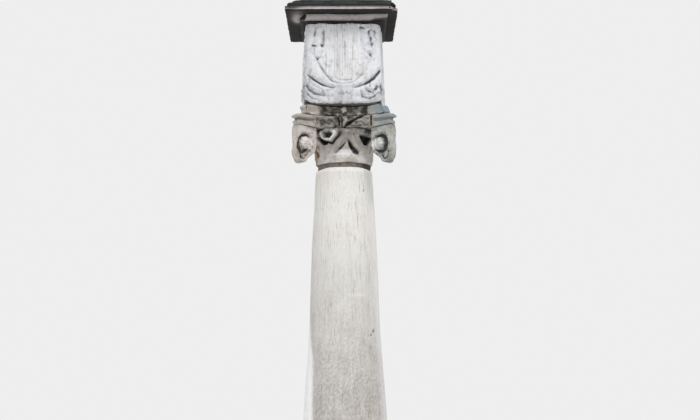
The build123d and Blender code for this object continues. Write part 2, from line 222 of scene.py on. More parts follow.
def draw_weathering(tree, given):
    """A carved stone's whole surface, its hollows darkened as painted shade. Its mesh has the marks hollow,
    edge, soot and painted shade, lichen, fresh stone and painted highlight, and damp.
    """
    grain = place(tree, "Group", {"node_tree": stone_grain}, Mottle_Size=given["Mottle Size"]).outputs
    streaks = place(tree, "Group", {"node_tree": upright_streaks}).outputs
    moss = place(tree, "Group", {"node_tree": moss_growth}, Moss=given["Moss"]).outputs["Mask"]
    beds = place(tree, "Mapping", Vector=own_place(tree), Location=(3.1, 1.7, 0.6)).outputs[0]
    warm_beds = between(tree, cloud(tree, beds, 0.16, 5), 0.46, 0.68)
    blotch = cloud(tree, beds, 0.022, 6, 0.72)

    def share(mask, amount):
        return times(tree, mask, given[amount])

    def layered(colour, *layers):
        for mask, over in layers:
            colour = mixed(tree, mask, colour, over)
        return colour

    mottling = share(grain["Mottle"], "Mottle")
    colour = layered(given["Base"], (mottling, given["Pale"]), (share(warm_beds, "Warmth"), given["Warm"]))
    colour = layered(
        colour,
        (share(between(tree, blotch, 0.50, 0.72), "Blotch"), mixed(tree, 0.5, colour, given["Dark"])),
        (share(between(tree, blotch, 0.46, 0.28), "Blotch"), given["Pale"]),
    )
    sand_tone = between(tree, grain["Sand"], 0.30, 0.72)
    dull = mixed(tree, 0.45, colour, given["Dark"])
    # The soot mark holds soot and painted shade alike.
    sooty = maths(tree, "ADD", mark(tree, "soot"), times(tree, mottling, 0.3))
    sooty = times(tree, between(tree, sooty, 0.12, 1.1), 0.94)
    worn = times(tree, between(tree, mark(tree, "edge"), 0.15, 0.8), maths(tree, "SUBTRACT", 1.0, sooty))
    open_pits = share(between(tree, grain["Pits"], 0.2, 0.9), "Pitting")
    colour = layered(
        colour,
        (share(maths(tree, "SUBTRACT", 1.0, sand_tone), "Speckle"), dull),
        (share(between(tree, streaks["Chisel"], 0.54, 0.67), "Chisel"), dull),
        (share(streaks["Rain"], "Rain"), dull),
        # Painted shade: the hollow mark darkens recesses, as strongly as the stone's input for it says.
        (share(between(tree, mark(tree, "hollow"), 0.05, 0.75), "Soot"), given["Dark"]),
        (sooty, given["Dark"]),
        (share(worn, "Wear"), given["Pale"]),
        (open_pits, given["Dark"]),
        (times(tree, mark(tree, "lichen"), between(tree, blotch, 0.70, 0.40)), tint(130, 142, 148)),
        (moss, given["Moss Colour"]),
        # The fresh mark paints pale clean stone, and painted highlights where a piece carries them.
        (mark(tree, "fresh"), tint(244, 244, 246)),
    )
    dullness = place(tree, "MapRange", Value=grain["Sand"], To_Min=0.78, To_Max=0.98).outputs[0]
    height = times(tree, grain["Sand"], 0.5)
    for operation, part, depth in (("ADD", share(blotch, "Blotch"), 0.8), ("SUBTRACT", open_pits, 0.9),
                                   ("SUBTRACT", share(streaks["Chisel"], "Chisel"), 0.9)):
        height = maths(tree, operation, height, times(tree, part, depth))
    cushion = times(tree, moss, times(tree, grain["Sand"], 0.8))
    return {"Color": colour, "Roughness": dullness, "Height": maths(tree, "ADD", height, cushion)}


stone_inputs = {
    "Base": (0.5, 0.5, 0.5, 1.0), "Pale": (0.7, 0.7, 0.7, 1.0), "Dark": (0.08, 0.08, 0.07, 1.0),
    "Warm": (0.5, 0.4, 0.3, 1.0), "Moss Colour": (0.07, 0.08, 0.03, 1.0), "Mottle Size": 1.0,
    "Mottle": 0.6, "Blotch": 0.3, "Warmth": 0.3, "Speckle": 0.5, "Pitting": 1.0, "Chisel": 0.3,
    "Rain": 0.3, "Soot": 0.8, "Wear": 0.5, "Moss": 0.3,
}
weathered_stone = node_group("weathered stone", stone_inputs, draw_weathering)


def new_material(name):
    material = bpy.data.materials.new(name)
    material.use_nodes = True
    return material, material.node_tree


def dress(tree, relief, height, **surface):
    """Feeds the shader of a material. Relief is the depth of its bumps, in metres."""
    shader = tree.nodes["Principled BSDF"]
    surface["Normal"] = place(tree, "Bump", Strength=1.0, Distance=relief, Height=height).outputs[0]
    for name, value in surface.items():
        feed(tree, shader.inputs[name.replace("_", " ")], value)


def stone_material(name, relief, **values):
    """A material with that stone's own values, where a colour is from 0 to 255."""
    material, tree = new_material(name)
    values = {label: tint(*value) if isinstance(value, tuple) else value for label, value in values.items()}
    stone = place(tree, "Group", {"node_tree": weathered_stone}, **values).outputs
    shine = {"Roughness": stone["Roughness"], "Specular_IOR_Level": 0.2}
    dress(tree, relief, stone["Height"], Base_Color=stone["Color"], **shine)
    return material


def smoothed(points, edges, rounds):
    """The points after each has moved to the mean of its neighbours, again and again."""
    count = len(points)
    neighbours = np.maximum(np.bincount(edges.ravel(), minlength=count), 1)
    for _ in range(rounds):
        moved = np.empty_like(points)
        for axis in range(3):
            moved[:, axis] = np.bincount(edges[:, 0], points[edges[:, 1], axis], count)
            moved[:, axis] += np.bincount(edges[:, 1], points[edges[:, 0], axis], count)
        points = moved / neighbours[:, None]
    return points


def rough(points, size, seed, octaves=3):
    """Smooth random values from about -1 to 1, with lumps one size across and finer ones on them."""
    seed_step = 7.31
    places = (points / size + seed_step * seed).tolist()
    return np.array([noise.fractal(point, 0.9, 2.0, octaves) for point in places])


def mesh_arrays(mesh):
    """The points and normals of a mesh, and the two ends of each of its edges."""
    points, normals = np.empty(len(mesh.vertices) * 3), np.empty(len(mesh.vertices) * 3)
    mesh.vertices.foreach_get("co", points)
    mesh.vertices.foreach_get("normal", normals)
    edges = np.empty(len(mesh.edges) * 2, int)
    mesh.edges.foreach_get("vertices", edges)
    return points.reshape(-1, 3), normals.reshape(-1, 3), edges.reshape(-1, 2)


def put_points(mesh, points):
    mesh.vertices.foreach_set("co", points.ravel())
    mesh.update()


rubbing_rounds, marking_rounds, face_lump, least_wear, chip_wear = 8, 10, 0.035, 0.55, 1.3


def wear_down(mesh, wear, chip_size, roughness, seed):
    """Rubs arrises off, more where a slow noise is high, and roughens the faces, always inwards."""
    points, normals, edges = mesh_arrays(mesh)
    wear_and_highlight = smoothed(points, edges, rubbing_rounds) - points
    share = np.clip(wear * (least_wear + chip_wear * rough(points, chip_size, seed)), 0, 1)
    worn = points + wear_and_highlight * share[:, None]
    put_points(mesh, worn + normals * (roughness * (rough(points, face_lump, seed + 1) - 1))[:, None])


def draw_marks(mesh, depth, **marks):
    """Writes how hollow or sharp the surface is at each point, and the other marks it is given."""
    points, normals, edges = mesh_arrays(mesh)
    sunk = np.einsum("ij,ij->i", smoothed(points, edges, marking_rounds) - points, normals) / depth
    marks = {"hollow": np.clip(sunk, 0, 1), "edge": np.clip(-sunk, 0, 1), **marks}
    for name, values in marks.items():
        attribute = mesh.attributes.new(name, "FLOAT", "POINT")
        attribute.data.foreach_set("value", np.asarray(values, np.float32))


def finish_piece(name, mesh, material, slot, *nodes):
    """A dressed stone in the place of its nodes, riding on the shrine's one body."""
    mesh.name = name
    mesh.materials.clear()
    mesh.materials.append(material)
    mesh.polygons.foreach_set("use_smooth", np.ones(len(mesh.polygons), bool))
    piece = bpy.data.objects.new(name, mesh)
    bpy.context.scene.collection.objects.link(piece)
    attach(piece, "root")
    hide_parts(*nodes)


def remeshed(node, grain):
    """A node's solid as an even net of squares, one grain across."""
    copy = bpy.data.objects.new("copy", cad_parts[node].data.copy())
    bpy.context.scene.collection.objects.link(copy)
    net = copy.modifiers.new("net", "REMESH")
    net.mode = "VOXEL"
    net.voxel_size = grain
    ready = copy.evaluated_get(bpy.context.evaluated_depsgraph_get())
    mesh = bpy.data.meshes.new_from_object(ready)
    bpy.data.objects.remove(copy)
    return mesh


def worn_block(node, grain, wear, material, slot, seed):
    """A plain block with worn arrises, kept inside its solid's box."""
    chip_size, roughness = 0.16, 0.0012
    mesh = remeshed(node, grain)
    wear_down(mesh, wear, chip_size, roughness, seed)
    put_points(mesh, np.clip(mesh_arrays(mesh)[0], *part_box(node)))
    draw_marks(mesh, 0.35 * grain)
    finish_piece("worn_" + node, mesh, material, slot, node)


step_stone = stone_material(
    "step limestone", 0.0022, Base=(150, 145, 134), Pale=(184, 180, 170), Dark=(52, 50, 44),
    Warm=(148, 128, 104), Moss_Colour=(74, 82, 44), Mottle=0.7, Warmth=0.35, Speckle=0.55,
    Chisel=0.15, Rain=0.35, Soot=0.8, Wear=0.6, Moss=0.55,
)
step_grain = 0.012
sides = ("front", "right", "back", "left")
for seed, side in enumerate(sides):
    worn_block(f"lower_step_{side}", step_grain, 1.0, step_stone, "step_stone", seed)


def paint(node, material):
    """A node that keeps its own shape and takes a finish."""
    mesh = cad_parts[node].data
    mesh.materials.clear()
    mesh.materials.append(material)


paint("step_core", step_stone)


# Upper step: two slabs of the same limestone, laid dry side by side over the lower step. Feet and rain have
# rubbed their arrises round.
for seed, side in enumerate(("right", "left")):
    worn_block(f"upper_step_{side}", step_grain, 0.9, step_stone, "step_stone", 10 + seed)


# Bed joints: thin beds of dark lime mortar between the stones, set back from their faces. Each was spread
# before the next stone was lowered on it.
mortar = stone_material(
    "old lime mortar", 0.003, Base=(118, 112, 102), Pale=(140, 134, 124), Dark=(44, 40, 34),
    Warm=(112, 94, 76), Moss_Colour=(78, 80, 52), Mottle=0.6, Warmth=0.4, Speckle=0.6, Chisel=0.0,
    Rain=0.2, Soot=0.5, Wear=0.3, Moss=0.45,
)
for node in ("pedestal_mortar", "plinth_mortar", "shaft_mortar", "head_mortar"):
    paint(node, mortar)


# Pedestal: a moulded base, a die with a sunk panel on each side, and a moulded cap, each cut from one
# block of grey limestone. The mouldings are struck with a scraper along a template, then weathered.
def quarter_turns():
    """The four turns that carry a side's points and normals round the block."""
    angles = [quarter * math.pi / 2 for quarter in range(4)]
    return [np.array([[math.cos(a), math.sin(a)], [-math.sin(a), math.cos(a)]]) for a in angles]


def square_outline(half, corner, steps):
    """Points, outward normals and distances along the side, for a square with rounded corners."""
    straight = half - corner
    length = straight + corner * math.pi / 4
    along = ((np.arange(steps) + 0.5) / steps * 2 - 1) * length
    over = np.clip(np.abs(along) - straight, 0, None) / corner
    hand = np.sign(along)
    flat = np.clip(along, -straight, straight)
    points = np.stack([flat + hand * corner * np.sin(over), -straight - corner * np.cos(over)], 1)
    normals = np.stack([hand * np.sin(over), -np.cos(over)], 1)
    turned_points, turned_normals = ([row @ turn for turn in quarter_turns()] for row in (points, normals))
    return np.concatenate(turned_points), np.concatenate(turned_normals), np.tile(along, 4)


def stack_mesh(rings):
    """A closed mesh through rings of points, with a point in the middle of the first and the last ring."""
    rings = np.asarray(rings)
    rows, columns = rings.shape[:2]
    points = np.concatenate([rings.reshape(-1, 3), rings[:1].mean(axis=1), rings[-1:].mean(axis=1)])
    numbers = np.arange(rows * columns).reshape(rows, columns)
    low, high = numbers[:-1], numbers[1:]
    walls = np.stack([low, np.roll(low, -1, 1), np.roll(high, -1, 1), high], -1).reshape(-1, 4)
    foot, top = rows * columns, rows * columns + 1
    caps = [(foot, b, a) for a, b in zip(numbers[0], np.roll(numbers[0], -1))]
    caps += [(top, a, b) for a, b in zip(numbers[-1], np.roll(numbers[-1], -1))]
    mesh = bpy.data.meshes.new("stack")
    mesh.from_pydata(points.tolist(), [], walls.tolist() + [tuple(map(int, cap)) for cap in caps])
    return mesh


def spaced(profile, gap):
    """A profile of corner points with more points between them, about one gap apart."""
    dense = [np.array(profile[0])]
    for start, end in zip(map(np.array, profile), map(np.array, profile[1:])):
        count = max(1, round(float(np.linalg.norm(end - start)) / gap))
        dense += [start + (end - start) * step / count for step in range(1, count + 1)]
    return np.array(dense)


def moulding_mesh(profile, centre_x, steps, gap):
    """A square block between two flat beds, whose sides follow a profile of distances out and heights."""
    course_corner = 0.006
    beds = [(max(half - 11 * gap, half / 2), height) for half, height in (profile[0], profile[-1])]
    rings = []
    for half, height in spaced(beds[:1] + profile + beds[1:], gap):
        outline = square_outline(half, min(course_corner, 0.45 * half), steps)[0]
        rings.append([(x + centre_x, y, height) for x, y in outline])
    return stack_mesh(rings)


def curve(start, middle, end, count):
    """Points of a smooth bend from start to end that passes near middle."""
    shares = np.linspace(0, 1, count)[:, None]
    start, middle, end = map(np.array, (start, middle, end))
    control = 2 * middle - (start + end) / 2
    bend = (1 - shares) ** 2 * start + 2 * shares * (1 - shares) * control + shares ** 2 * end
    return [tuple(point) for point in bend]


base_stone = stone_material(
    "pedestal limestone", 0.002, Base=(164, 158, 149), Pale=(200, 196, 188), Dark=(58, 56, 52),
    Warm=(168, 146, 124), Moss_Colour=(78, 86, 50), Mottle=0.75, Warmth=0.35, Speckle=0.5,
    Chisel=0.25, Rain=0.5, Soot=0.85, Wear=0.6, Moss=0.35,
)


def moulded_course(node, profile, material, slot, wear, seed, centre_x=0.0, steps=64, gap=0.006):
    """A course of the shrine with a moulded edge, worn along its arrises."""
    chip_size, roughness = 0.10, 0.0008
    mesh = moulding_mesh(profile, centre_x, steps, gap)
    wear_down(mesh, wear, chip_size, roughness, seed)
    draw_marks(mesh, 0.0022)
    finish_piece("worn_" + node, mesh, material, slot, node)


foot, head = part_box("pedestal_base")
wide, narrow, rise = head.x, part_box("pedestal")[1].x, head.z - foot.z
shelf, lip = foot.z + 0.45 * rise, foot.z + 0.88 * rise
profile = [(wide, foot.z), (wide, shelf), (wide - 0.014, shelf)]
profile += curve(profile[-1], (narrow + 0.05, shelf + 0.3 * (lip - shelf)), (narrow + 0.008, lip), 9)
profile += [(narrow, lip), (narrow, head.z)]
moulded_course("pedestal_base", profile, base_stone, "base_stone", 0.9, 21)

worn_block("pedestal", 0.010, 0.8, base_stone, "base_stone", 22)

foot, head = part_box("pedestal_cap")
wide, rise = head.x, head.z - foot.z
neck, soffit, drip = foot.z + 0.12 * rise, foot.z + 0.52 * rise, foot.z + 0.84 * rise
profile = [(narrow + 0.008, foot.z), (narrow + 0.008, neck)]
profile += curve(profile[-1], (narrow + 0.022, soffit - 0.012), (wide - 0.022, soffit), 9)
profile += [(wide, soffit), (wide, drip), (narrow + 0.015, head.z)]
moulded_course("pedestal_cap", profile, base_stone, "base_stone", 0.9, 23)


# Plinth and column base: a square slab, and on it a base turned on a bench from one block, with a full
# roll, a slanted hollow and a small collar under the shaft.
def round_rings(profile, steps):
    """Rings of points round the column's axis, from distances from the axis and heights."""
    turn = np.arange(steps) * 2 * math.pi / steps
    return [[(r * math.sin(a), -r * math.cos(a), z) for a in turn] for r, z in profile]


foot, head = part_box("plinth")
rounded = 0.005
profile = [(head.x, foot.z), (head.x, head.z - rounded), (head.x - rounded, head.z), (0.8 * head.x, head.z)]
moulded_course("plinth", profile, base_stone, "base_stone", 0.9, 24)

foot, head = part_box("column_base")
reach, low = head.x, foot.z
roll_radius = 0.44 * (head.z - low) / 2
profile = [(0.7 * reach, low)]
for angle in np.linspace(-math.pi / 2, math.pi / 2, 15):
    profile.append((reach - roll_radius * (1 - math.cos(angle)), low + roll_radius * (1 + math.sin(angle))))
collar = reach - 0.037
lip = collar + 0.004
profile += [(reach - 0.019, low + 0.045), (reach - 0.019, low + 0.054)]
profile += curve(profile[-1], (collar - 0.006, low + 0.066), (collar, low + 0.078), 6)
profile += curve((lip, low + 0.078), (lip + 0.008, low + 0.086), (lip, head.z - 0.004), 6)
profile += [(collar - 0.002, head.z), (0.7 * reach, head.z)]
mesh = stack_mesh(round_rings(spaced(profile, 0.006), 200))
wear_down(mesh, 0.5, 0.10, 0.0008, 25)
draw_marks(mesh, 0.0018)
finish_piece("turned_column_base", mesh, base_stone, "base_stone", "column_base")


# Shaft: one tall tapering drum of pale limestone, dragged down with a toothed chisel. Rain keeps its top
# clean and pale. Further down it is greyer and pinker, with a painted sky highlight down its left flank.
def off_axis(points):
    return np.hypot(points[:, 0], points[:, 1])


def bearing_of(points):
    """Degrees round the column, from the front towards the right."""
    return np.degrees(np.arctan2(points[:, 0], -points[:, 1]))


def around(low, high, value):
    """0 below low, 1 above high, and a smooth rise between, for arrays."""
    share = np.clip((value - low) / (high - low), 0, 1)
    return share * share * (3 - 2 * share)


def spots(bearings, levels, amounts, places, spread=1.0):
    """Soft round spots on a drum, by bearing in degrees, level, half width in degrees and half height."""
    total = np.zeros(len(bearings))
    for amount, (bearing_at, level_at, half_width, half_height) in zip(amounts, places):
        apart = ((bearings - bearing_at) / (spread * half_width)) ** 2
        total += amount * np.exp(-apart - ((levels - level_at) / (spread * half_height)) ** 2)
    return total


shaft_foot, shaft_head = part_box("shaft")
solid_points = np.array([vertex.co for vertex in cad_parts["shaft"].data.vertices])
shaft_levels = np.unique(solid_points[:, 2].round(4))
shaft_radii = [off_axis(solid_points[np.abs(solid_points[:, 2] - z) < 0.0002]).max() for z in shaft_levels]
neck_reach = shaft_radii[-1]
shaft_rows, shaft_steps, arris, dressed_back = 230, 190, 0.006, 0.0008
top_band, top_wear = 0.035, 0.009
profile = [(0.5 * shaft_radii[0], shaft_foot.z)]
for level in np.linspace(shaft_foot.z, shaft_head.z - arris, shaft_rows):
    profile.append((float(np.interp(level, shaft_levels, shaft_radii)), float(level)))
profile += [(neck_reach, shaft_head.z - 0.001), (neck_reach - 0.004, shaft_head.z)]
profile += [(0.5 * neck_reach, shaft_head.z)]
mesh = stack_mesh(round_rings(profile, shaft_steps))
points, normals, _ = mesh_arrays(mesh)
azimuth, tall = bearing_of(points), points[:, 2]
pit_places = [(40, 2.45, 1.5, 0.004), (52, 1.623, 1.5, 0.008), (46, 1.60, 1.2, 0.005),
              (-120, 2.1, 2.0, 0.007), (150, 1.5, 1.6, 0.008), (95, 1.9, 1.8, 0.006)]
pit_depths = [0.003, 0.004, 0.003, 0.004, 0.004, 0.003]
# The chisel's drag, a slow sway of the face, and pits. The top arris is worn down, mostly at both sides.
drag = 0.0007 * rough(points * [1, 1, 0.06], 0.018, 31, 2)
sway = 0.0016 * (rough(points, 0.22, 32, 2) - 0.6)
dents = spots(azimuth, tall, pit_depths, pit_places)
points = points + normals * (drag + sway - dressed_back - dents)[:, None]
near_top = around(shaft_head.z - top_band, shaft_head.z - 0.004, tall)
near_top = near_top * around(0.6, 0.95, off_axis(points) / neck_reach)
points[:, 2] -= top_wear * near_top * around(28, 75, np.abs(azimuth)) * around(160, 115, np.abs(azimuth))
put_points(mesh, points)
# A painted sky highlight down the left flank, grey that deepens downwards, stained pits, a rubbed spot, and
# painted light on the right flank.
# Painted highlight: a pale strip of sky light down the left flank of the lower shaft.
highlight_edge = np.interp(tall, [1.1, 1.458, 1.75], [-50, -58, -84])
wander = 12 * rough(points * [1, 1, 0.08], 0.03, 36)
sky_highlight = around(6, -6, azimuth - highlight_edge) * around(-142, -90, azimuth + wander)
sky_highlight = sky_highlight * around(1.85, 1.5, tall) * around(1.02, 1.12, tall)
sky_highlight = sky_highlight * (0.8 + 0.2 * rough(points, 0.03, 33))
soot = np.interp(tall, [1.04, 1.2, 1.46, 1.69, 1.95, 2.3], [0.56, 0.55, 0.50, 0.41, 0.33, 0.13])
soot = soot * (1 + 0.10 * rough(points * [1, 1, 0.1], 0.02, 34)) - 0.5 * sky_highlight
soot += 0.20 * around(2.3, 1.2, tall) * rough(points * [1, 1, 0.6], 0.008, 35, 1)
soot += spots(azimuth, tall, [0.8] * len(pit_places), pit_places, 1.2)
# A rubbed spot, and a band of painted light on the right flank.
wear_and_highlight = spots(azimuth, tall, [0.28], [(22, 1.83, 17, 0.010)])
wear_and_highlight += 0.42 * around(46, 76, azimuth) * around(150, 105, azimuth)
draw_marks(mesh, 0.0025, fresh=np.clip(sky_highlight + wear_and_highlight, 0, 1), soot=np.clip(soot, 0, 1))
shaft_stone = stone_material(
    "shaft limestone", 0.0014, Base=(230, 229, 225), Pale=(242, 241, 238), Dark=(102, 92, 84),
    Warm=(222, 212, 205), Moss_Colour=(120, 122, 90), Mottle=0.25, Blotch=0.2, Warmth=0.3,
    Speckle=0.52, Pitting=0.35, Chisel=1.0, Rain=0.12, Soot=0.7, Wear=0.4, Moss=0.04,
)
finish_piece("tooled_shaft", mesh, shaft_stone, "shaft_stone", "shaft")


# Neck joint: a deep ring of old lime mortar between the shaft and the capital. It has weathered back and gone
# dark, and is green with moss on one side.
foot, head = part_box("neck_joint")
reach = head.x
profile = spaced([(0.7 * reach, foot.z), (reach, foot.z), (reach, head.z), (0.7 * reach, head.z)], 0.004)
mesh = stack_mesh(round_rings(profile, 180))
points = mesh_arrays(mesh)[0]
rugged = 0.005 * rough(points, 0.02, 41) * around(0.8 * reach, reach, off_axis(points))
points = points + points * [1, 1, 0] / reach * rugged[:, None]
put_points(mesh, points)
x = points[:, 0]
draw_marks(mesh, 0.002, soot=0.15 + 0.6 * around(0.04, 0.14, x), damp=0.4 * around(0.0, -0.12, x))
finish_piece("packed_neck_joint", mesh, mortar, "mortar", "neck_joint")


# Capital bell: a drum cut from one block of grey limestone. Crossed stems stand out on each side over a
# split leaf, and deep hollows are drilled beside them. Its tops have gone black, and one leaf tip is broken.
def to_run(across, up, start, end):
    """How far each place is from a straight run, and the share of the run that its nearest point is at."""
    (x0, y0), (x1, y1) = start[:2], end[:2]
    run = (x1 - x0) ** 2 + (y1 - y0) ** 2
    share = np.clip(((across - x0) * (x1 - x0) + (up - y0) * (y1 - y0)) / run, 0, 1)
    return np.hypot(across - x0 - share * (x1 - x0), up - y0 - share * (y1 - y0)), share


def stroke(across, up, path):
    """A cut or a ridge along a line: each point of the path has its place, half width and height."""
    nearest, height = 1e9, 0.0
    for start, end in zip(path, path[1:]):
        apart, share = to_run(across, up, start, end)
        apart = apart / (start[2] + share * (end[2] - start[2]))
        height = np.where(apart < nearest, start[3] + share * (end[3] - start[3]), height)
        nearest = np.minimum(nearest, apart)
    return height * np.exp(-(nearest ** 2))


def strokes(across, up, paths):
    return sum(stroke(across, up, path) for path in paths)


def in_metres(paths):
    """Paths whose places, half widths and heights are written in millimetres."""
    return [[tuple(value / 1000 for value in point) for point in path] for path in paths]


def stem(across, up, path, half_width=0.021):
    """A round-backed stem, 1 on its line and 0 from its half width away."""
    nearest = np.min([to_run(across, up, start, end)[0] for start, end in zip(path, path[1:])], axis=0)
    return np.sqrt(np.clip(1 - (nearest / half_width) ** 2, 0, 1))


def soften(distance, width):
    return np.exp(-((distance / width) ** 2))


def closed(rings, under, over):
    """The rings with smaller copies of the first and the last one, for the beds under and over a piece."""
    foot_rings = [rings[0] * [share, share, 1] for share in under]
    return foot_rings + list(rings) + [rings[-1] * [share, share, 1] for share in over]


bell_foot, bell_head = (corner.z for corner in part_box("capital_bell"))
bell_rise = bell_head - bell_foot
neck_radius, lip_radius, carving_radius, carving_shift = 0.173, 0.206, 0.186, 0.012
stem_path = [(-0.092, 0.046), (-0.066, 0.092), (-0.032, 0.140), (0.0, 0.171), (0.046, 0.190), (0.110, 0.204)]
mirrored_path = [(-across, up) for across, up in stem_path]
split_leaf = in_metres([
    [(14, 134, 5, -8), (24, 114, 8, -24), (42, 88, 10, -30), (62, 66, 14, -32), (78, 60, 12, -26)],
    [(10, 134, 4, -3), (-8, 112, 6, -6), (-34, 84, 8, -9), (-60, 64, 9, -12), (-70, 58, 8, -8)],
    [(12, 128, 6, 4), (7, 98, 10, 10), (4, 62, 14, 6)],
    [(-50, 46, 10, 3), (0, 40, 12, 6), (56, 44, 10, 3)],
])
drill_lid, diagonal_cut = in_metres([
    [(86, 160, 6, 4), (124, 170, 8, 8), (165, 166, 6, 4)],
    [(164, 150, 6, -8), (170, 60, 5, -4)],
])
bell_steps, bell_rows = 560, 90
stem_stand, leaf_stand = 0.013, 0.022
drill_middle, drill_inner, drill_half, drill_depth = 0.166, 0.078, 0.027, 0.050


def leaf_ring(across, up):
    """The broken leaf's round end: 1 on its ring, the bearing from its middle, and how whole it is there."""
    tilted = (across + 0.108) * 0.94 + (up - 0.165) * 0.34
    raised = (up - 0.165) * 0.94 - (across + 0.108) * 0.34
    heading = np.degrees(np.arctan2(raised, tilted))
    from_foot = np.abs((heading + 290) % 360 - 180)
    whole = 0.25 + 0.75 * around(140, 90, from_foot)
    uneven = 1 + 0.13 * np.sin(np.radians(2 * heading + 30)) + 0.08 * np.sin(np.radians(5 * heading))
    return np.hypot(tilted / 0.044, raised / 0.027) * uneven, heading, whole


def bell_relief(across, up, side):
    """How far one side's carving stands out, from distances along the drum and heights, in metres."""
    stems = np.maximum(stem(across, up, stem_path), stem(across, up, mirrored_path))
    out = stem_stand * stems * around(0.040, 0.085, up) + strokes(across, up, split_leaf)
    for inward in (-across, across):
        opening = drill_half * np.clip((inward - drill_inner) / 0.050, 0, 1) ** 0.8
        hollow = around(0.004, -0.006, np.abs(up - drill_middle + opening) - opening)
        hollow = hollow * around(drill_inner - 0.001, drill_inner + 0.005, inward)
        lobe = np.hypot((inward - 0.118) / 0.044, (up - 0.070) / 0.046)
        out = (out + stroke(inward, up, drill_lid)) * (1 - hollow) - drill_depth * hollow
        out = out + 0.004 * around(1.2, 0.4, lobe) + stroke(inward, up, diagonal_cut)
    if side == 0:
        ring, heading, whole = leaf_ring(across, up)
        out = out * around(0.95, 1.25, ring) + leaf_stand * whole * soften(ring - 1.0, 0.27)
        under_leaf = soften(ring - 1.5, 0.25) * around(0, -60, heading)
        out = out - 0.024 * around(0.66, 0.35, ring) - 0.016 * under_leaf
    return out


turns = np.arange(bell_steps) * 2 * math.pi / bell_steps
turn_grid, level_grid = np.meshgrid(turns, np.linspace(0, bell_rise, bell_rows))
nearest_side = np.round(turn_grid / (math.pi / 2))
along_drum = (turn_grid - nearest_side * math.pi / 2) * carving_radius - carving_shift
relief = np.zeros_like(along_drum)
for side in range(4):
    chosen_side = nearest_side % 4 == side
    relief[chosen_side] = bell_relief(along_drum[chosen_side], level_grid[chosen_side], side)
radius = neck_radius + (lip_radius - neck_radius) * around(0.50 * bell_rise, 0.97 * bell_rise, level_grid)
radius += relief * around(0.0, 0.035, level_grid) - 0.004 * around(0.012, 0.0, level_grid)
rings = np.stack([radius * np.sin(turn_grid), -radius * np.cos(turn_grid), bell_foot + level_grid], -1)
mesh = stack_mesh(closed(rings, [0.6], [0.6]))
wear_down(mesh, 0.35, 0.05, 0.0007, 51)
points = mesh_arrays(mesh)[0]
azimuth, risen = bearing_of(points), points[:, 2] - bell_foot
from_side = np.abs((azimuth + 45) % 90 - 45)
on_side = (np.radians(azimuth) + math.pi / 4) % (math.pi / 2) * carving_radius
cuts = strokes(on_side - 0.158, risen, split_leaf)
# Black on the top and on the middle of each side. Painted shadow beside the scrolls, and painted shade in
# the drilled hollows, in the leaf's grooves and in and under the broken leaf's ring. The break and the rubbed
# lower parts are pale.
black_top = around(0.12, 0.20, risen) * (0.42 + 0.4 * rough(points, 0.03, 52))
black_top += 0.22 * around(0.06, 0.14, risen) * around(30, 8, from_side)
# Painted shadow beside the scrolls at the top of the bell.
black_top += 0.55 * around(0.12, 0.17, risen) * around(32, 39, from_side)
black_top += 0.40 * around(bell_rise - 0.022, bell_rise - 0.006, risen)
# Painted shade in the drilled hollows.
deep_in = around(0.171, 0.158, off_axis(points)) * around(0.05, 0.08, risen)
along = np.radians(azimuth) * carving_radius - carving_shift
ring, heading, whole = leaf_ring(along, risen)
fresh_break = whole * soften(ring - 1.0, 0.25) * around(1.2, 0.2, rough(points, 0.015, 53))
shade = 0.6 * around(0.80, 0.40, ring) + 1.2 * soften(ring - 1.6, 0.35) * around(0, -50, heading)
# Painted shade in the split leaf's grooves, less on its ridges, along with the painted shade of the ring.
soot = np.clip(0.72 * black_top + 2.4 * deep_in + shade - cuts / 0.020, 0, 1) * (1 - 0.95 * fresh_break)
clean = 0.30 * around(0.085, 0.045, risen) * around(70, 40, np.abs(azimuth))
clean = clean * around(-0.5, 0.4, rough(points, 0.04, 54))
low_band = around(0.022, 0.034, risen) * around(0.086, 0.066, risen)
clean += 0.30 * around(0.070, 0.045, np.abs(along)) * low_band
stain = 1.8 * around(-52, -68, azimuth) * around(-112, -96, azimuth) * around(0.15, 0.09, risen)
draw_marks(mesh, 0.005, soot=soot, fresh=np.clip(0.9 * fresh_break + clean, 0, 1), damp=stain)
capital_stone = stone_material(
    "capital limestone", 0.0022, Base=(172, 166, 158), Pale=(208, 204, 198), Dark=(25, 24, 22),
    Warm=(176, 152, 132), Moss_Colour=(128, 106, 80), Mottle=0.75, Blotch=0.5, Warmth=0.4,
    Speckle=0.6, Pitting=0.8, Chisel=0.15, Rain=0.5, Soot=0.8, Wear=0.45, Moss=0.2,
)
finish_piece("carved_bell", mesh, capital_stone, "capital_stone", "capital_bell")


# Volutes: four thick scrolls that hang from the abacus's horns, each cut from its own block and pinned
# behind. A band comes down, turns under a round eye and ends in a curl. Both back ones have lost their ends.
volute_foot, volute_head = (corner.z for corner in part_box("volute_front_right"))
volute_outer, volute_inner, volute_half = 0.407, 0.251, 0.026
eye_places, eye_radius, eye_stretch = {"left": (0.330, -0.096), "right": (0.300, -0.100)}, 0.037, 1.12
channel_bearings = np.arange(12) * math.pi / 6
channel_edges = {
    "left": [0.060, 0.056, 0.053, 0.051, 0.046, 0.036, 0.030, 0.030, 0.036, 0.056, 0.088, 0.082],
    "right": [0.074, 0.068, 0.062, 0.050, 0.038, 0.032, 0.028, 0.030, 0.036, 0.052, 0.074, 0.082],
}
end_curl = [(0.391, -0.150, 0.003, 0.3), (0.388, -0.176, 0.005, 1.0), (0.374, -0.196, 0.005, 1.0),
            (0.354, -0.199, 0.005, 0.9), (0.343, -0.187, 0.004, 0.8), (0.353, -0.177, 0.003, 0.4)]


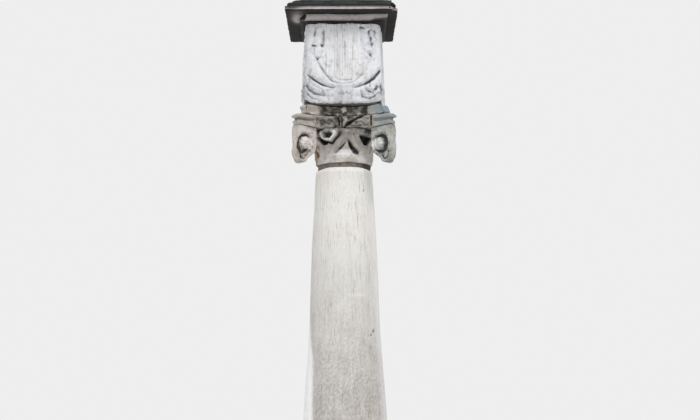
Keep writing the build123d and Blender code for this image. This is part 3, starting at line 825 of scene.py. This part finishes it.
def scroll_outline(angles, eye_place):
    """The scroll's edge as seen from its cheek: distance from the eye for each angle from straight out."""
    heel = volute_foot - volute_head
    from_outer = [(0.004, 0.0), (0.0, -0.03), (0.003, -0.09), (0.0, -0.15), (0.006, -0.184),
                  (0.024, heel + 0.006), (0.046, heel), (0.068, heel + 0.008), (0.084, heel + 0.030)]
    from_inner = [(0.038, -0.166), (0.012, -0.148), (0.0, -0.115), (0.0, -0.05), (0.002, 0.0)]
    corners = [(volute_outer - inset, up) for inset, up in from_outer]
    corners += [(volute_inner + inset, up) for inset, up in from_inner]
    outline = np.array(corners) - eye_place
    shares = np.linspace(0, 1, 24, endpoint=False)[:, None]
    dense = np.concatenate([a + (b - a) * shares for a, b in zip(outline, np.roll(outline, -1, 0))])
    around_eye = np.arctan2(dense[:, 1], dense[:, 0]) % (2 * math.pi)
    order = np.argsort(around_eye)
    return np.interp(angles, around_eye[order], off_axis(dense)[order], period=2 * math.pi)


def cheek(out, up, bearing, hand):
    """How far the cheek stands from the scroll's middle plane, how dark its painted shade is, and how pale.
    """
    uneven = rough(np.column_stack([out, up, 0 * out]), 0.018, 68)
    from_eye = np.hypot((out - eye_places[hand][0]) / eye_stretch, up - eye_places[hand][1]) + 0.003 * uneven
    edge = np.interp(bearing, channel_bearings, channel_edges[hand], period=2 * math.pi) + 0.004 * uneven
    sunk = around(edge + 0.006, edge - 0.008, from_eye)
    dome = np.clip(1 - ((from_eye + 0.004 * uneven) / eye_radius) ** 2, 0, 1) ** 0.35
    eye_stand = volute_half - 0.022 + (0.023 + 0.008 * uneven) * dome - 0.03 * (dome == 0)
    rolled = around(edge + 0.030, edge + 0.006, from_eye) * around(0.1, -0.3, np.sin(bearing))
    nick = around(0.55, 0.95, np.cos(bearing * 13 + 1.2)) * around(0.004, 0.016, from_eye - edge)
    nick = nick * around(-0.35, -0.7, np.sin(bearing)) * around(0.032, 0.020, from_eye - edge)
    curl = stroke(out, up, end_curl) * (1 + 0.5 * uneven)
    height = np.maximum(volute_half - 0.024 * sunk, eye_stand) + 0.004 * rolled - 0.006 * nick - 0.008 * curl
    # Painted shade in the channel round the eye, darkest near its outer edge, a soft halo of it just outside,
    # and painted shade in the nicks and the end curl.
    black = sunk * (0.58 + 0.60 * soften(edge - from_eye - 0.009, 0.015))
    halo = 0.35 * around(edge + 0.024, edge, from_eye) * (0.6 + 0.8 * uneven)
    soot = around(0.94, 1.16, from_eye / eye_radius) * np.maximum(black, halo) + 0.7 * nick + 0.85 * curl
    return height, np.clip(soot, 0, 1), around(0.1, 0.7, dome)


def turned_round(rings, degrees, lift):
    """The rings turned round the column's axis and lifted."""
    cosine, sine = math.cos(math.radians(degrees)), math.sin(math.radians(degrees))
    x, y, z = np.moveaxis(rings, -1, 0)
    return np.stack([x * cosine - y * sine, x * sine + y * cosine, z + lift], -1)


scroll_steps = 150
bearings = np.arange(scroll_steps) * 2 * math.pi / scroll_steps
shares = np.concatenate([np.linspace(0.02, 0.95, 44), [0.975, 0.992]])
rim_widths = [0.92, 0.62, 0.3, 0.0, -0.3, -0.62, -0.92]
break_outer, break_inner = -0.100, -0.052
scroll_stones = {}
for hand, base, pale, warm in (("left", (198, 190, 183), (226, 219, 214), (194, 172, 156)),
                               ("right", (164, 168, 163), (206, 208, 204), (176, 166, 146))):
    scroll_stones[hand] = stone_material(
        f"{hand} scroll limestone", 0.0022, Base=base, Pale=pale, Dark=(34, 33, 30), Warm=warm,
        Moss_Colour=(104, 112, 72), Mottle=0.8, Blotch=0.65, Warmth=0.5, Speckle=0.5, Pitting=0.7,
        Chisel=0.1, Rain=0.25, Soot=0.35, Wear=0.4, Moss=0.15,
    )
for number, corner_name in enumerate(("front_right", "back_right", "back_left", "front_left")):
    hand = corner_name.split("_")[1]
    edge_reach = scroll_outline(bearings, eye_places[hand])
    front_rings, rim_rings, back_rings, channels, eyes = [], [], [], [], []
    for share in shares:
        out = eye_places[hand][0] + share * edge_reach * np.cos(bearings)
        up = eye_places[hand][1] + share * edge_reach * np.sin(bearings)
        rise, channel, eye = cheek(out, up, bearings, hand)
        rise = rise - 0.004 * around(0.93, 1.0, share)
        channels.append(channel)
        eyes.append(eye)
        front_rings.append(np.stack([out, -rise, up], 1))
        back_rings.insert(0, np.stack([out, rise, up], 1))
    out = eye_places[hand][0] + edge_reach * np.cos(bearings)
    up = eye_places[hand][1] + edge_reach * np.sin(bearings)
    for width in rim_widths:
        rim_rings.append(np.stack([out, 0 * out - width * (volute_half - 0.002), up], 1))
    rings = np.array(front_rings + rim_rings + back_rings)
    rings[..., 2] = np.minimum(rings[..., 2], 0)
    lost = corner_name.startswith("back")
    if lost:
        share = (rings[..., 0] - volute_inner) / (volute_outer - volute_inner)
        ragged = rough(rings.reshape(-1, 3) * [1, 1, 0], 0.025, 66 + number).reshape(share.shape)
        break_line = break_inner + (break_outer - break_inner) * np.clip(share, 0, 1) + 0.006 * ragged
        rings[..., 2] = np.maximum(rings[..., 2], break_line)
    mesh = stack_mesh(turned_round(rings, 90 * number - 45, volute_head))
    if not lost:
        wear_down(mesh, 0.5, 0.05, 0.0009, 60 + number)
    points = mesh_arrays(mesh)[0]
    # The painted shade and the pale eye of both cheeks, none on the rim, and patches of grime over all.
    rim = [np.zeros(scroll_steps)] * len(rim_widths)
    sunk = np.concatenate(channels + rim + channels[::-1] + [np.zeros(2)])
    pale = np.concatenate(eyes + rim + eyes[::-1] + [np.ones(2)])
    grime = 0.36 * around(0.0, 0.7, rough(points, 0.024, 64 + number))
    # The eye is paler, both as worn stone and as painted highlight, more on the right scrolls.
    pale_and_highlight = 0.36 if hand == "left" else 0.55
    pale = pale_and_highlight * pale * around(0.6, -0.3, rough(points, 0.016, 69))
    draw_marks(mesh, 0.006, soot=np.clip(grime + sunk, 0, 1), fresh=pale)
    stone = scroll_stones[hand]
    finish_piece(f"scroll_{corner_name}", mesh, stone, "capital_stone", f"volute_{corner_name}")


# Abacus: a slab with hollow sides and blunt horns that the scrolls hang from. Its edge is moulded at the
# horns, and in the middle of each side a leaf and two lobes are carved over it.
def horned_outline(reach, tip_width, waist, steps, tip_steps):
    """Points and outward normals round a square with hollow sides, and the distance along each side."""
    near, far = (reach - tip_width / 2) / math.sqrt(2), (reach + tip_width / 2) / math.sqrt(2)
    sag = far - waist
    bend = (near ** 2 + sag ** 2) / (2 * sag)
    half_swing = math.asin(near / bend)
    swing = np.linspace(-half_swing, half_swing, steps)
    side = np.stack([bend * np.sin(swing), -waist - bend + bend * np.cos(swing)], 1)
    side_normal = np.stack([-np.sin(swing), -np.cos(swing)], 1)
    shares = np.linspace(0, 1, tip_steps + 2)[1:-1, None]
    tip = np.array([near, -far]) * (1 - shares) + np.array([far, -near]) * shares
    tip_normal = np.tile(np.array([1, -1]) / math.sqrt(2), (tip_steps, 1))
    points = np.concatenate([row @ turn for turn in quarter_turns() for row in (side, tip)])
    normals = np.concatenate([row @ turn for turn in quarter_turns() for row in (side_normal, tip_normal)])
    return points, normals, np.tile(np.append(bend * swing, np.full(tip_steps, bend * half_swing)), 4)


def beside_diagonal(points):
    return np.abs(np.abs(points[:, 0]) - np.abs(points[:, 1]))


def front_right(points, low, high):
    """1 on the front right part, where lichen grows, with its left edge between low and high."""
    return around(low, high, points[:, 0]) * around(-0.1, -0.2, points[:, 1])


abacus_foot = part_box("abacus")[0].z
horn_reach, horn_width, abacus_waist = 0.408, 0.066, 0.212
side_steps, tip_steps = 150, 22
lobe_ground, lobe_stand = -0.018, 0.020
lobe_places = ((-0.080, 0.034, 0.054, 0.034), (0.092, 0.030, 0.056, 0.030), (0.0, 0.040, 0.026, 0.044))
edge_profile = spaced([(0.012, 0.0), (0.008, 0.003), (0.008, 0.027), (0.017, 0.030), (0.017, 0.041),
                       (0.002, 0.045), (0.0, 0.050), (0.004, 0.060), (0.014, 0.069), (0.018, 0.071)], 0.0026)
leaf_cuts = in_metres([
    [(-30, 0, 4, -4), (-26, 30, 5, -14), (-34, 62, 4, -8)],
    [(-10, 0, 4, -10), (-12, 40, 5, -14), (-16, 70, 4, -8)],
    [(4, 4, 6, -10), (26, 26, 9, -24), (60, 46, 8, -22), (98, 66, 6, -16), (112, 68, 4, -6)],
    [(-36, 6, 4, -4), (-66, 34, 5, -7), (-112, 62, 4, -3)],
    [(60, 8, 4, -4), (140, 10, 5, -6)],
    [(157, 0, 5, -14), (156, 70, 5, -14)],
    [(-148, 4, 10, -3), (-156, 40, 12, -7), (-150, 70, 9, -3)],
    [(-62, 2, 3, -3), (-96, 20, 4, -6), (-136, 36, 3, -2)],
    [(120, 14, 4, -5), (102, 34, 5, -8), (70, 22, 4, -5)],
])


def side_lobes(across, up):
    """The lobes carved in the middle of a side: how far they stand out from the slab's outline."""
    out = lobe_ground
    for centre, level, half, rise in lobe_places:
        lobe = np.hypot((across - centre) / half, (up - level) / rise)
        out = np.maximum(out, lobe_ground + lobe_stand * np.sqrt(np.clip(1 - lobe ** 2, 0, 1)))
    return out


rings, cuts = [], []
outline, outward, along = horned_outline(horn_reach, horn_width, abacus_waist, side_steps, tip_steps)
moulded = around(0.152, 0.182, np.abs(along))[:, None]
for inset, height in edge_profile:
    struck = horned_outline(
        horn_reach - inset, horn_width - 1.7 * inset, abacus_waist - inset, side_steps, tip_steps
    )[0]
    cuts.append(-strokes(along, height, leaf_cuts))
    carved = outline + outward * (side_lobes(along, height) - cuts[-1])[:, None]
    moved = struck * moulded + carved * (1 - moulded)
    rings.append(np.column_stack([moved, np.full(len(moved), abacus_foot + height)]))
mesh = stack_mesh(closed(rings, [0.6], [0.8, 0.5]))
wear_down(mesh, 0.5, 0.06, 0.0008, 71)
points = mesh_arrays(mesh)[0]
from_diagonal = beside_diagonal(points)
cut = np.concatenate([cuts[0]] + cuts + [0 * cuts[0], 0 * cuts[0], np.zeros(2)])
# Soot and painted shade on the carved sides under the head block, soot in patches, and painted shade in the
# cuts and along two lines of the moulded horns.
soot = around(0.045, 0.080, from_diagonal) * (0.40 + 0.24 * rough(points, 0.028, 72))
# Soot in patches, and painted shade in the cuts.
soot += 0.25 * around(0.0, 0.6, rough(points, 0.05, 73)) + 0.7 * around(0.002, 0.014, cut)
above_foot = points[:, 2] - abacus_foot
# Painted shade in the groove of the moulded horns and along their foot.
lines = 0.55 * soften(above_foot - 0.036, 0.005) + 0.45 * soften(above_foot - 0.002, 0.004)
soot += lines * around(0.060, 0.035, from_diagonal) * (1 + 0.6 * rough(points, 0.03, 74))
draw_marks(mesh, 0.006, soot=np.clip(soot, 0, 1), lichen=0.9 * front_right(points, 0.17, 0.22))
finish_piece("horned_abacus", mesh, capital_stone, "capital_stone", "abacus")


# Head seat: low spurs at the corners that carry the head block, with hollow sides between them that are
# dark with soot and painted shade under the block. A small flower is carved in the middle of each side.
seat_foot, seat_head = (corner.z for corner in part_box("head_seat"))
seat_foot_reach, seat_top_reach, seat_waist, side_hollow = 0.372, 0.330, 0.196, 0.006
rings = []
for share in np.linspace(0, 1, 20):
    reach = seat_foot_reach + (seat_top_reach - seat_foot_reach) * share
    outline, outward, _ = horned_outline(reach, horn_width, seat_waist, 90, 20)
    moved = outline - outward * side_hollow * math.sin(math.pi * share)
    rings.append(np.column_stack([moved, np.full(len(moved), seat_foot + share * (seat_head - seat_foot))]))
mesh = stack_mesh(closed(rings, [0.6], [0.8, 0.5]))
points = mesh_arrays(mesh)[0]
low_front = around(seat_head - 0.010, seat_foot + 0.010, points[:, 2]) * around(-0.10, -0.20, points[:, 1])
points[:, 0] += 0.024 * low_front * around(-0.20, -0.26, points[:, 0])
put_points(mesh, points)
wear_down(mesh, 0.7, 0.05, 0.0012, 81)
points = mesh_arrays(mesh)[0]
from_diagonal = beside_diagonal(points)
# Soot and painted shade in the hollow sides, painted shadow up under the block, and painted shade in a line
# where each spur ends.
soot = 0.16 + around(0.050, 0.095, from_diagonal) * (0.46 + 0.46 * rough(points, 0.020, 82))
# Painted shade in a line where each spur ends.
soot += 0.3 * soften(from_diagonal - 0.090, 0.012)
# Painted shadow up under the block.
soot += around(seat_head - 0.012, seat_head - 0.002, points[:, 2])
# Painted shade in that line on the front right.
soot += 0.6 * soften(from_diagonal - 0.085, 0.006) * front_right(points, 0.10, 0.14)
draw_marks(mesh, 0.006, soot=np.clip(soot, 0, 1), lichen=1.5 * front_right(points, 0.13, 0.21))
finish_piece("spurred_seat", mesh, capital_stone, "capital_stone", "head_seat")

flower_radius, flower_relief = 0.032, 0.018
petal_steps, petal_rows = 80, 16
bearing = np.arange(petal_steps) * 2 * math.pi / petal_steps
lobes = 0.5 + 0.5 * np.cos(5 * bearing)
for number, side in enumerate(sides):
    foot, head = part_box(f"fleuron_{side}")
    rings = []
    for share in np.linspace(0.05, 1.0, petal_rows):
        reach = share * flower_radius * (0.72 + 0.28 * lobes)
        dish = flower_relief * (0.55 + 0.45 * math.sin(math.pi * min(share * 1.15, 1))) * (0.8 + 0.2 * lobes)
        stand = dish * around(1.02, 0.9, share) + 0.010 * soften(share, 0.28)
        across, up = reach * np.cos(bearing), reach * np.sin(bearing)
        rings.append(np.stack([across, -seat_waist + 0.004 - stand, up], 1))
    rings.append(np.stack([across, 0 * across - seat_waist + 0.014, up], 1))
    rings = np.array(rings)
    mesh = stack_mesh(turned_round(rings, 90 * number, (foot.z + head.z) / 2))
    wear_down(mesh, 0.5, 0.02, 0.0006, 85 + number)
    heart = around(0.016, 0.008, np.hypot(rings[..., 0], rings[..., 2])).ravel()
    heart = np.append(heart, [1, 0])
    draw_marks(mesh, 0.002, soot=0.12 * (1 - heart), fresh=0.30 * heart)
    finish_piece(f"carved_flower_{side}", mesh, capital_stone, "capital_stone", f"fleuron_{side}")


# Head block: a square block of the palest limestone. On each side hangs a carved cloth: a fluted middle
# piece, folds swept up to the corners, a tied end on each side above, and a knot low on the right.
block_foot, block_head = (corner.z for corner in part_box("head_block"))
block_rise = block_head - block_foot
foot_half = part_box("head_block")[1].x
top_half = foot_half - 0.019
block_corner, cloth_level = 0.016, 0.305
face_steps, face_rows = 154, 150
fold_leans = [0, 18, 36, 54, 72, 90, 120]
fold_edges = [
    [0.190, 0.188, 0.171, 0.161, 0.160, 0.160, 0.170],
    [0.217, 0.224, 0.233, 0.247, 0.262, 0.275, 0.290],
    [0.262, 0.281, 0.306, 0.312, 0.318, 0.325, 0.340],
    [0.320, 0.335, 0.355, 0.370, 0.380, 0.390, 0.400],
]
fold_stands = [0.013, 0.010, 0.008]
cloth_cuts = in_metres([
    [(-234, 192, 3, -3), (-221, 176, 4, -8), (-176, 139, 6, -14), (-131, 111, 6, -13), (-85, 95, 5, -10),
     (-55, 90, 4, -4)],
    [(222, 206, 5, -6), (212, 190, 7, -15), (176, 148, 8, -16), (135, 119, 7, -14), (94, 101, 5, -10),
     (55, 90, 4, -5)],
    [(-156, 262, 5, -5), (-131, 212, 6, -9), (-104, 170, 6, -9), (-68, 129, 6, -7), (-44, 118, 5, -2)],
    [(140, 240, 8, -2), (112, 174, 10, -5), (74, 132, 8, -4)],
    [(-40, 139, 4, -3), (0, 136, 4, -7), (40, 138, 4, -6)],
    [(46, 178, 3, -3), (45, 134, 4, -8)],
    [(-46, 172, 3, -2), (-45, 146, 4, -5)],
    [(-234, 146, 5, -6), (-222, 114, 6, -10), (-203, 78, 7, -11), (-174, 56, 7, -10), (-115, 42, 5, -6)],
    [(-234, 96, 4, -6), (-216, 50, 5, -8), (-184, 24, 6, -8), (-140, 14, 5, -5)],
    [(-215, 150, 4, -4), (-180, 108, 5, -6), (-120, 72, 5, -5)],
    [(-105, 225, 6, -5), (-92, 212, 7, -7), (-78, 222, 5, -4)],
    [(-122, 460, 6, -6), (-123, 420, 11, -9), (-126, 350, 10, -8), (-134, 318, 6, -4)],
    [(-114, 462, 3, -4), (-115, 440, 4, -7), (-116, 380, 4, -8), (-118, 348, 4, -6)],
    [(-160, 462, 4, -5), (-170, 432, 6, -9), (-174, 412, 6, -10), (-170, 398, 4, -4)],
    [(-196, 456, 6, -4), (-198, 436, 5, -5)],
    [(-108, 436, 4, -3), (-104, 424, 5, -5)],
    [(-134, 350, 6, -8), (-126, 344, 6, -9)],
    [(-186, 348, 6, -10), (-168, 346, 6, -11)],
    [(-176, 332, 5, -7), (-172, 314, 6, -10)],
    [(-178, 302, 5, -6), (-168, 278, 6, -9), (-154, 266, 7, -11), (-140, 276, 6, -9), (-128, 302, 6, -6)],
    [(96, 458, 6, -10), (124, 456, 7, -13)],
    [(162, 446, 6, -7), (150, 430, 9, -13), (152, 408, 8, -10), (161, 392, 9, -14), (159, 374, 8, -10),
     (168, 358, 11, -16), (166, 338, 5, -6), (173, 322, 4, -5)],
    [(168, 446, 5, -6), (187, 430, 7, -11), (182, 408, 6, -8), (195, 386, 5, -7)],
    [(120, 322, 6, -4), (142, 304, 6, -5), (156, 290, 8, -7)],
    [(159, 290, 12, -10), (162, 284, 12, -10)],
    [(118, 326, 4, -5), (128, 318, 4, -5)],
    [(176, 326, 4, -4), (186, 322, 4, -5)],
    [(153, 124, 4, -8), (154, 94, 5, -11)],
    [(200, 98, 6, -10), (188, 80, 8, -13), (176, 72, 5, -7)],
    [(100, 72, 4, -6), (110, 36, 6, -11), (148, 22, 5, -7), (178, 34, 6, -11), (204, 60, 4, -6)],
    [(120, 96, 5, -6), (138, 72, 6, -10), (160, 64, 5, -8)],
    [(206, 140, 4, -4), (216, 108, 5, -8), (214, 76, 4, -5)],
    [(220, 112, 5, -6), (223, 78, 7, -14), (220, 46, 6, -9)],
])


def wave(value, length, shift=0.0):
    return np.cos(value / length * 2 * math.pi + shift)


def fluted(across, up):
    """The middle piece's fine pleats: -1 in a groove, 1 on a pleat, and strongest left of the middle."""
    pleat = wave(across, 0.0165, 3 * np.sin(7 * across) + 0.5 * np.sin(13 * up))
    strong = 0.4 * around(0.125, 0.070, np.abs(across)) + 0.6 * around(0.056, 0.036, np.abs(across + 0.016))
    return pleat * strong * around(0.13, 0.19, up)


def cloth_relief(across, up):
    """The carving of one side, in metres out from the block's face, from its middle line and its foot."""
    low = up < cloth_level
    from_eye = np.where(low, np.hypot(across, up - cloth_level), np.abs(across))
    lean = np.where(low, np.degrees(np.arctan2(np.abs(across), cloth_level - up)), 90)
    edges = [np.interp(lean, fold_leans, radii) for radii in fold_edges]
    middle_piece = 0.005 + 0.006 * (1 - (across / 0.16) ** 2) + 0.0020 * fluted(across, up)
    out = around(0.006, -0.006, from_eye - edges[0]) * middle_piece
    for inner, outer, stand in zip(edges, edges[1:], fold_stands):
        share = np.clip((from_eye - inner) / (outer - inner), 0, 1)
        fold = np.sin(math.pi * share ** 0.85) ** 0.8 * around(0.42, 0.26, up)
        out = np.maximum(out, stand * fold * ((share > 0) & (share < 1)))
    out = np.maximum(out, 0.005 * around(0.160, 0.180, np.abs(across)) * around(0.24, 0.34, up))
    tail = around(0.078, 0.052, np.abs(across - 0.002)) * around(0.125, 0.075, up)
    out = out * (1 - tail) + tail * (0.010 + 0.0015 * wave(across, 0.031))
    for inward in (-across, across):
        tied = around(0.262, 0.285, up) * around(0.472, 0.458, up)
        tied = tied * around(0.036, 0.024, np.abs(inward - 0.147))
        out = out + tied * (0.005 + 0.002 * wave(up, 0.043, 34 * inward - math.pi / 2))
    knot = np.hypot((across - 0.156) / 0.046, (up - 0.062) / 0.036)
    return out + 0.010 * soften(knot - 0.75, 0.35) - 0.004 * around(0.5, 0.1, knot)


rings, cuts = [], []
corner_drop, foot_sag, edge_band = 0.018, 0.006, 0.012
low_middle = around(0.75, 0.2, np.abs(square_outline(1.0, 0.1, face_steps)[2]))
for level in np.linspace(0, block_rise, face_rows):
    half = foot_half + (top_half - foot_half) * level / block_rise
    outline, outward, along = square_outline(half, block_corner, face_steps)
    straight = half - block_corner
    flat = around(straight + edge_band, straight - edge_band, np.abs(along))
    cuts.append(-strokes(along, level, cloth_cuts) * flat)
    lip = around(0.0, edge_band, level) * around(block_rise, block_rise - 0.010, level)
    height = (cloth_relief(along, level) * flat - cuts[-1]) * (0.45 + 0.55 * lip) - 0.005 * (1 - lip)
    drop = corner_drop * around(0.80, 1.0, np.abs(along) / half) * around(0.06, 0.0, level)
    drop = drop - foot_sag * around(0.05, 0.0, level) * low_middle
    rings.append(np.column_stack([outline + outward * height[:, None], block_foot + level + drop]))
rings = closed(rings, [0.5, 0.9], [0.9, 0.5])
rings[0][:, 2] = rings[1][:, 2] = block_foot
mesh = stack_mesh(rings)
points = mesh_arrays(mesh)[0]
# The top corner on the right is rubbed round, most at the front.
rounding = 0.042
from_side = np.clip(points[:, 0] - (top_half - rounding), 0, None)
from_top = np.clip(points[:, 2] - (block_head - rounding), 0, None)
apart = np.maximum(np.hypot(from_side, from_top), rounding)
drawn_in = (1 - rounding / apart) * around(0.16, 0.05, points[:, 1] + top_half)
points[:, 0] -= from_side * drawn_in
points[:, 2] -= from_top * drawn_in
put_points(mesh, points)
wear_down(mesh, 0.45, 0.05, 0.0008, 91)
points, normals, _ = mesh_arrays(mesh)
cut, ring_points = np.zeros(len(points)), 4 * face_steps
cut[2 * ring_points:(2 + face_rows) * ring_points] = np.concatenate(cuts)
# Painted shade beneath the block, at its sides (most on the left), in the pleats' grooves, along its upright
# arrises, under its top edge and in the cuts. Soot low down, in patches and in streaks.
x, y, up = points[:, 0], points[:, 1], points[:, 2] - block_foot
across = np.where(np.abs(x) < np.abs(y), x, y)
streak = around(0.05, 0.65, rough(points * [1, 1, 0.07], 0.012, 94))
beneath = around(foot_half - 0.004, foot_half - 0.022, np.maximum(np.abs(x), np.abs(y)))
# Painted shade on the underside beneath the block; the face is also darker low down.
soot = beneath * around(-0.3, -0.8, normals[:, 2]) + 0.20 * around(0.22, 0.02, up)
# Painted shade at the sides, most on the left.
soot += 0.14 * around(-0.09, -0.20, across) + 0.06 * around(0.10, 0.20, across)
soot += 0.24 * around(0.0, 0.7, rough(points, 0.022, 92)) * (0.45 + 0.55 * around(0.30, 0.10, up))
soot += 0.30 * streak * around(0.135, 0.100, np.abs(across)) * around(0.14, 0.24, up)
# Painted shade in the grooves of the pleats.
soot += 0.26 * np.clip(-fluted(across, up), 0, 1)
soot += (0.12 + 0.14 * streak) * around(0.072, 0.050, np.abs(across)) * around(0.125, 0.100, up)
# Painted shade along the upright arrises and under the top edge.
soot += 0.18 * around(0.035, 0.0, beside_diagonal(points)) + 0.14 * around(0.04, 0.0, block_rise - up)
# Painted shade in the carved cuts.
soot += 0.62 * around(0.001, 0.016, cut) * (1 + 0.35 * rough(points, 0.015, 93))
draw_marks(mesh, 0.012, soot=np.clip(soot, 0, 1))
head_stone = stone_material(
    "head limestone", 0.0020, Base=(214, 216, 221), Pale=(244, 244, 246), Dark=(60, 62, 70),
    Warm=(214, 206, 198), Moss_Colour=(120, 122, 100), Mottle=0.9, Blotch=0.65, Warmth=0.3,
    Speckle=0.24, Pitting=0.3, Chisel=0.45, Rain=0.3, Soot=0.45, Wear=0.5, Moss=0.03,
)
cloth_nodes = [f"drapery_{side}" for side in sides]
finish_piece("carved_head", mesh, head_stone, "head_stone", "head_block", *cloth_nodes)


# Cornice: a small bed moulding and a wide crown of brown limestone, darkened underneath with soot and
# painted shade. The crown has crept to the left, and its front right corner is broken off.
cornice_stone = stone_material(
    "cornice limestone", 0.002, Base=(142, 136, 132), Pale=(182, 176, 176), Dark=(17, 16, 16),
    Warm=(152, 118, 106), Moss_Colour=(70, 76, 52), Mottle=0.8, Blotch=0.8, Warmth=0.65,
    Speckle=0.6, Pitting=0.8, Chisel=0.05, Rain=0.4, Soot=0.95, Wear=0.6, Moss=0.1,
)
foot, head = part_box("bed_moulding")
crest, inner, lost_corner = head.x, top_half + 0.006, 0.032
profile = [(inner, foot.z), (inner, foot.z + 0.008)]
profile += curve(profile[-1], (inner + 0.026, foot.z + 0.017), (crest, head.z - 0.008), 9)
profile += [(crest, head.z)]
mesh = moulding_mesh(profile, 0.0, 110, 0.004)
points = mesh_arrays(mesh)[0]
corner_out = (-points[:, 0] - points[:, 1]) / math.sqrt(2) - math.sqrt(2) * crest
lost = np.clip(corner_out + lost_corner + 0.012 * rough(points, 0.018, 105), 0, None)
points[:, :2] += (lost / math.sqrt(2))[:, None]
put_points(mesh, points)
wear_down(mesh, 0.7, 0.10, 0.0012, 101)
points, normals, _ = mesh_arrays(mesh)
x, y, z = points.T
# Soot on the broken corner. Painted shade under both flanks, painted shadow along the foot, and painted shade
# low on the right.
# Painted shade under both flanks.
on_sides = around(0.0, 0.02, np.abs(x) - np.abs(y)) * around(-0.05, -0.3, normals[:, 2])
# Painted shade low on the right.
low_right = around(foot.z + 0.028, foot.z + 0.014, z - 0.09 * (x - 0.20)) * around(0.14, 0.19, x)
# Soot on the broken corner, and painted shadow along the foot.
soot = around(0.0, 0.006, lost) + 1.1 * on_sides + around(foot.z + 0.013, foot.z + 0.006, z) + 0.8 * low_right
draw_marks(mesh, 0.0022, soot=np.clip(soot, 0, 1))
finish_piece("worn_bed_moulding", mesh, cornice_stone, "cornice_stone", "bed_moulding")

foot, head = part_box("crown")
creep = (foot.x + head.x) / 2
reach = head.x - creep
fillet_head = foot.z + 0.025
break_reach, break_in, break_back = 0.060, 0.026, 0.022
lump_x, lump_half_x, lump_y, lump_half_y, lump_drop = -0.276, 0.034, -0.20, 0.105, 0.020
profile = [(0.8 * reach, foot.z), (reach - 0.012, foot.z), (reach - 0.012, foot.z + 0.004)]
profile += [(reach, foot.z + 0.005), (reach, fillet_head), (reach - 0.014, fillet_head + 0.003)]
profile += curve(profile[-1], (reach - 0.012, head.z - 0.014), (reach - 0.022, head.z), 8)
mesh = moulding_mesh(profile, creep, 120, 0.004)
points, normals, _ = mesh_arrays(mesh)
x, y, z = points.T
# The front right corner is broken off, and a lump of stone is left under the crown at the left.
to_corner = np.hypot(x - head.x, y + reach) + 0.02 * rough(points, 0.02, 102)
pull = around(break_reach, 0.0, to_corner)
x -= break_in * pull
y += break_back * pull
lump = np.exp(-((x - lump_x) / lump_half_x) ** 2 - ((y - lump_y) / lump_half_y) ** 2)
lump = lump * around(-0.5, -0.9, normals[:, 2])
z -= lump_drop * lump
put_points(mesh, points)
wear_down(mesh, 0.7, 0.07, 0.001, 103)
points, normals, _ = mesh_arrays(mesh)
x, y, z = points.T
# A painted highlight along the fillet's foot, and a little on the lump. Soot darkens the rest of the fillet,
# and soot and painted shade darken the underside and all above it.
above_fillet = around(fillet_head - 0.002, fillet_head + 0.004, z)
fillet = around(0.5, 0.9, -normals[:, 1]) * around(foot.z, foot.z + 0.006, z) * (1 - above_fillet)
line = fillet * soften(z - foot.z - 0.010, 0.005)
# Painted highlight along the fillet's foot.
wear_and_highlight = 0.40 * line * (1 + 0.5 * rough(points, 0.03, 106)) * around(0.30, 0.18, np.abs(x + 0.03))
soot = fillet * (0.45 * around(-0.18, -0.30, x) + 0.52 * (1 - line))
# Soot and painted shade on the underside and above the fillet.
soot += 1.15 * around(-0.3, -0.8, normals[:, 2]) + 1.5 * above_fillet * (0.9 + 0.2 * rough(points, 0.04, 104))
soot = np.clip(soot, 0, 1) * (1 - np.clip(1.1 * lump, 0, 1))
# The lump gets a little painted highlight.
draw_marks(mesh, 0.004, soot=soot, fresh=wear_and_highlight + 0.13 * lump)
finish_piece("broken_crown", mesh, cornice_stone, "cornice_stone", "crown")


# Roof: one dark slab swept up to a flat top, grown over with moss and lichen, and a small square socket
# stone on it that holds the cross.
roof_stone = stone_material(
    "roof stone", 0.003, Base=(44, 54, 55), Pale=(70, 82, 84), Dark=(17, 20, 20),
    Warm=(82, 80, 72), Moss_Colour=(58, 66, 46), Mottle=0.7, Blotch=0.6, Warmth=0.25,
    Speckle=0.6, Pitting=0.6, Chisel=0.1, Rain=0.5, Soot=0.8, Wear=0.35, Moss=0.38,
)
foot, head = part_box("roof")
profile = [(head.x - creep, foot.z), (head.x - creep, foot.z + 0.016)]
profile += curve(profile[-1], (0.164, foot.z + 0.089), (0.075, head.z), 14)
mesh = moulding_mesh(profile, creep, 76, 0.007)
wear_down(mesh, 0.9, 0.10, 0.0018, 111)
draw_marks(mesh, 0.003)
finish_piece("swept_roof", mesh, roof_stone, "roof_stone", "roof")

foot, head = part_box("cross_socket")
wide = head.x - creep
narrow = wide - 0.010
profile = [(narrow, foot.z), (narrow, foot.z + 0.010)]
profile += curve(profile[-1], (narrow - 0.014, foot.z + 0.047), (narrow, foot.z + 0.075), 9)
profile += [(wide, foot.z + 0.076), (wide, foot.z + 0.083), (0.034, head.z)]
socket_net = {"centre_x": creep, "steps": 30, "gap": 0.004}
moulded_course("cross_socket", profile, roof_stone, "roof_stone", 0.8, 112, **socket_net)


# Cross: wrought iron, forged flat with flared ends and leaded into the socket stone. It has rusted all over,
# in brown scale with darker iron between.
def rusty_iron():
    material, tree = new_material("rusted wrought iron")
    where = own_place(tree)
    scale_rust = cloud(tree, where, 0.02, 8, 0.7)
    colour = mixed(tree, between(tree, scale_rust, 0.38, 0.62), tint(44, 38, 34), tint(108, 66, 42))
    colour = mixed(tree, between(tree, cloud(tree, where, 0.006, 4), 0.55, 0.7), colour, tint(142, 88, 54))
    metal = times(tree, between(tree, scale_rust, 0.5, 0.36), 0.6)
    dullness = place(tree, "MapRange", Value=scale_rust, To_Min=0.55, To_Max=0.95).outputs[0]
    flakes = cloud(tree, where, 0.008, 6, 0.7)
    dress(tree, 0.002, flakes, Base_Color=colour, Metallic=metal, Roughness=dullness)
    return material


wrought_iron = rusty_iron()
mesh = remeshed("cross", 0.004)
wear_down(mesh, 0.8, 0.05, 0.0005, 121)
finish_piece("forged_cross", mesh, wrought_iron, "wrought_iron", "cross")
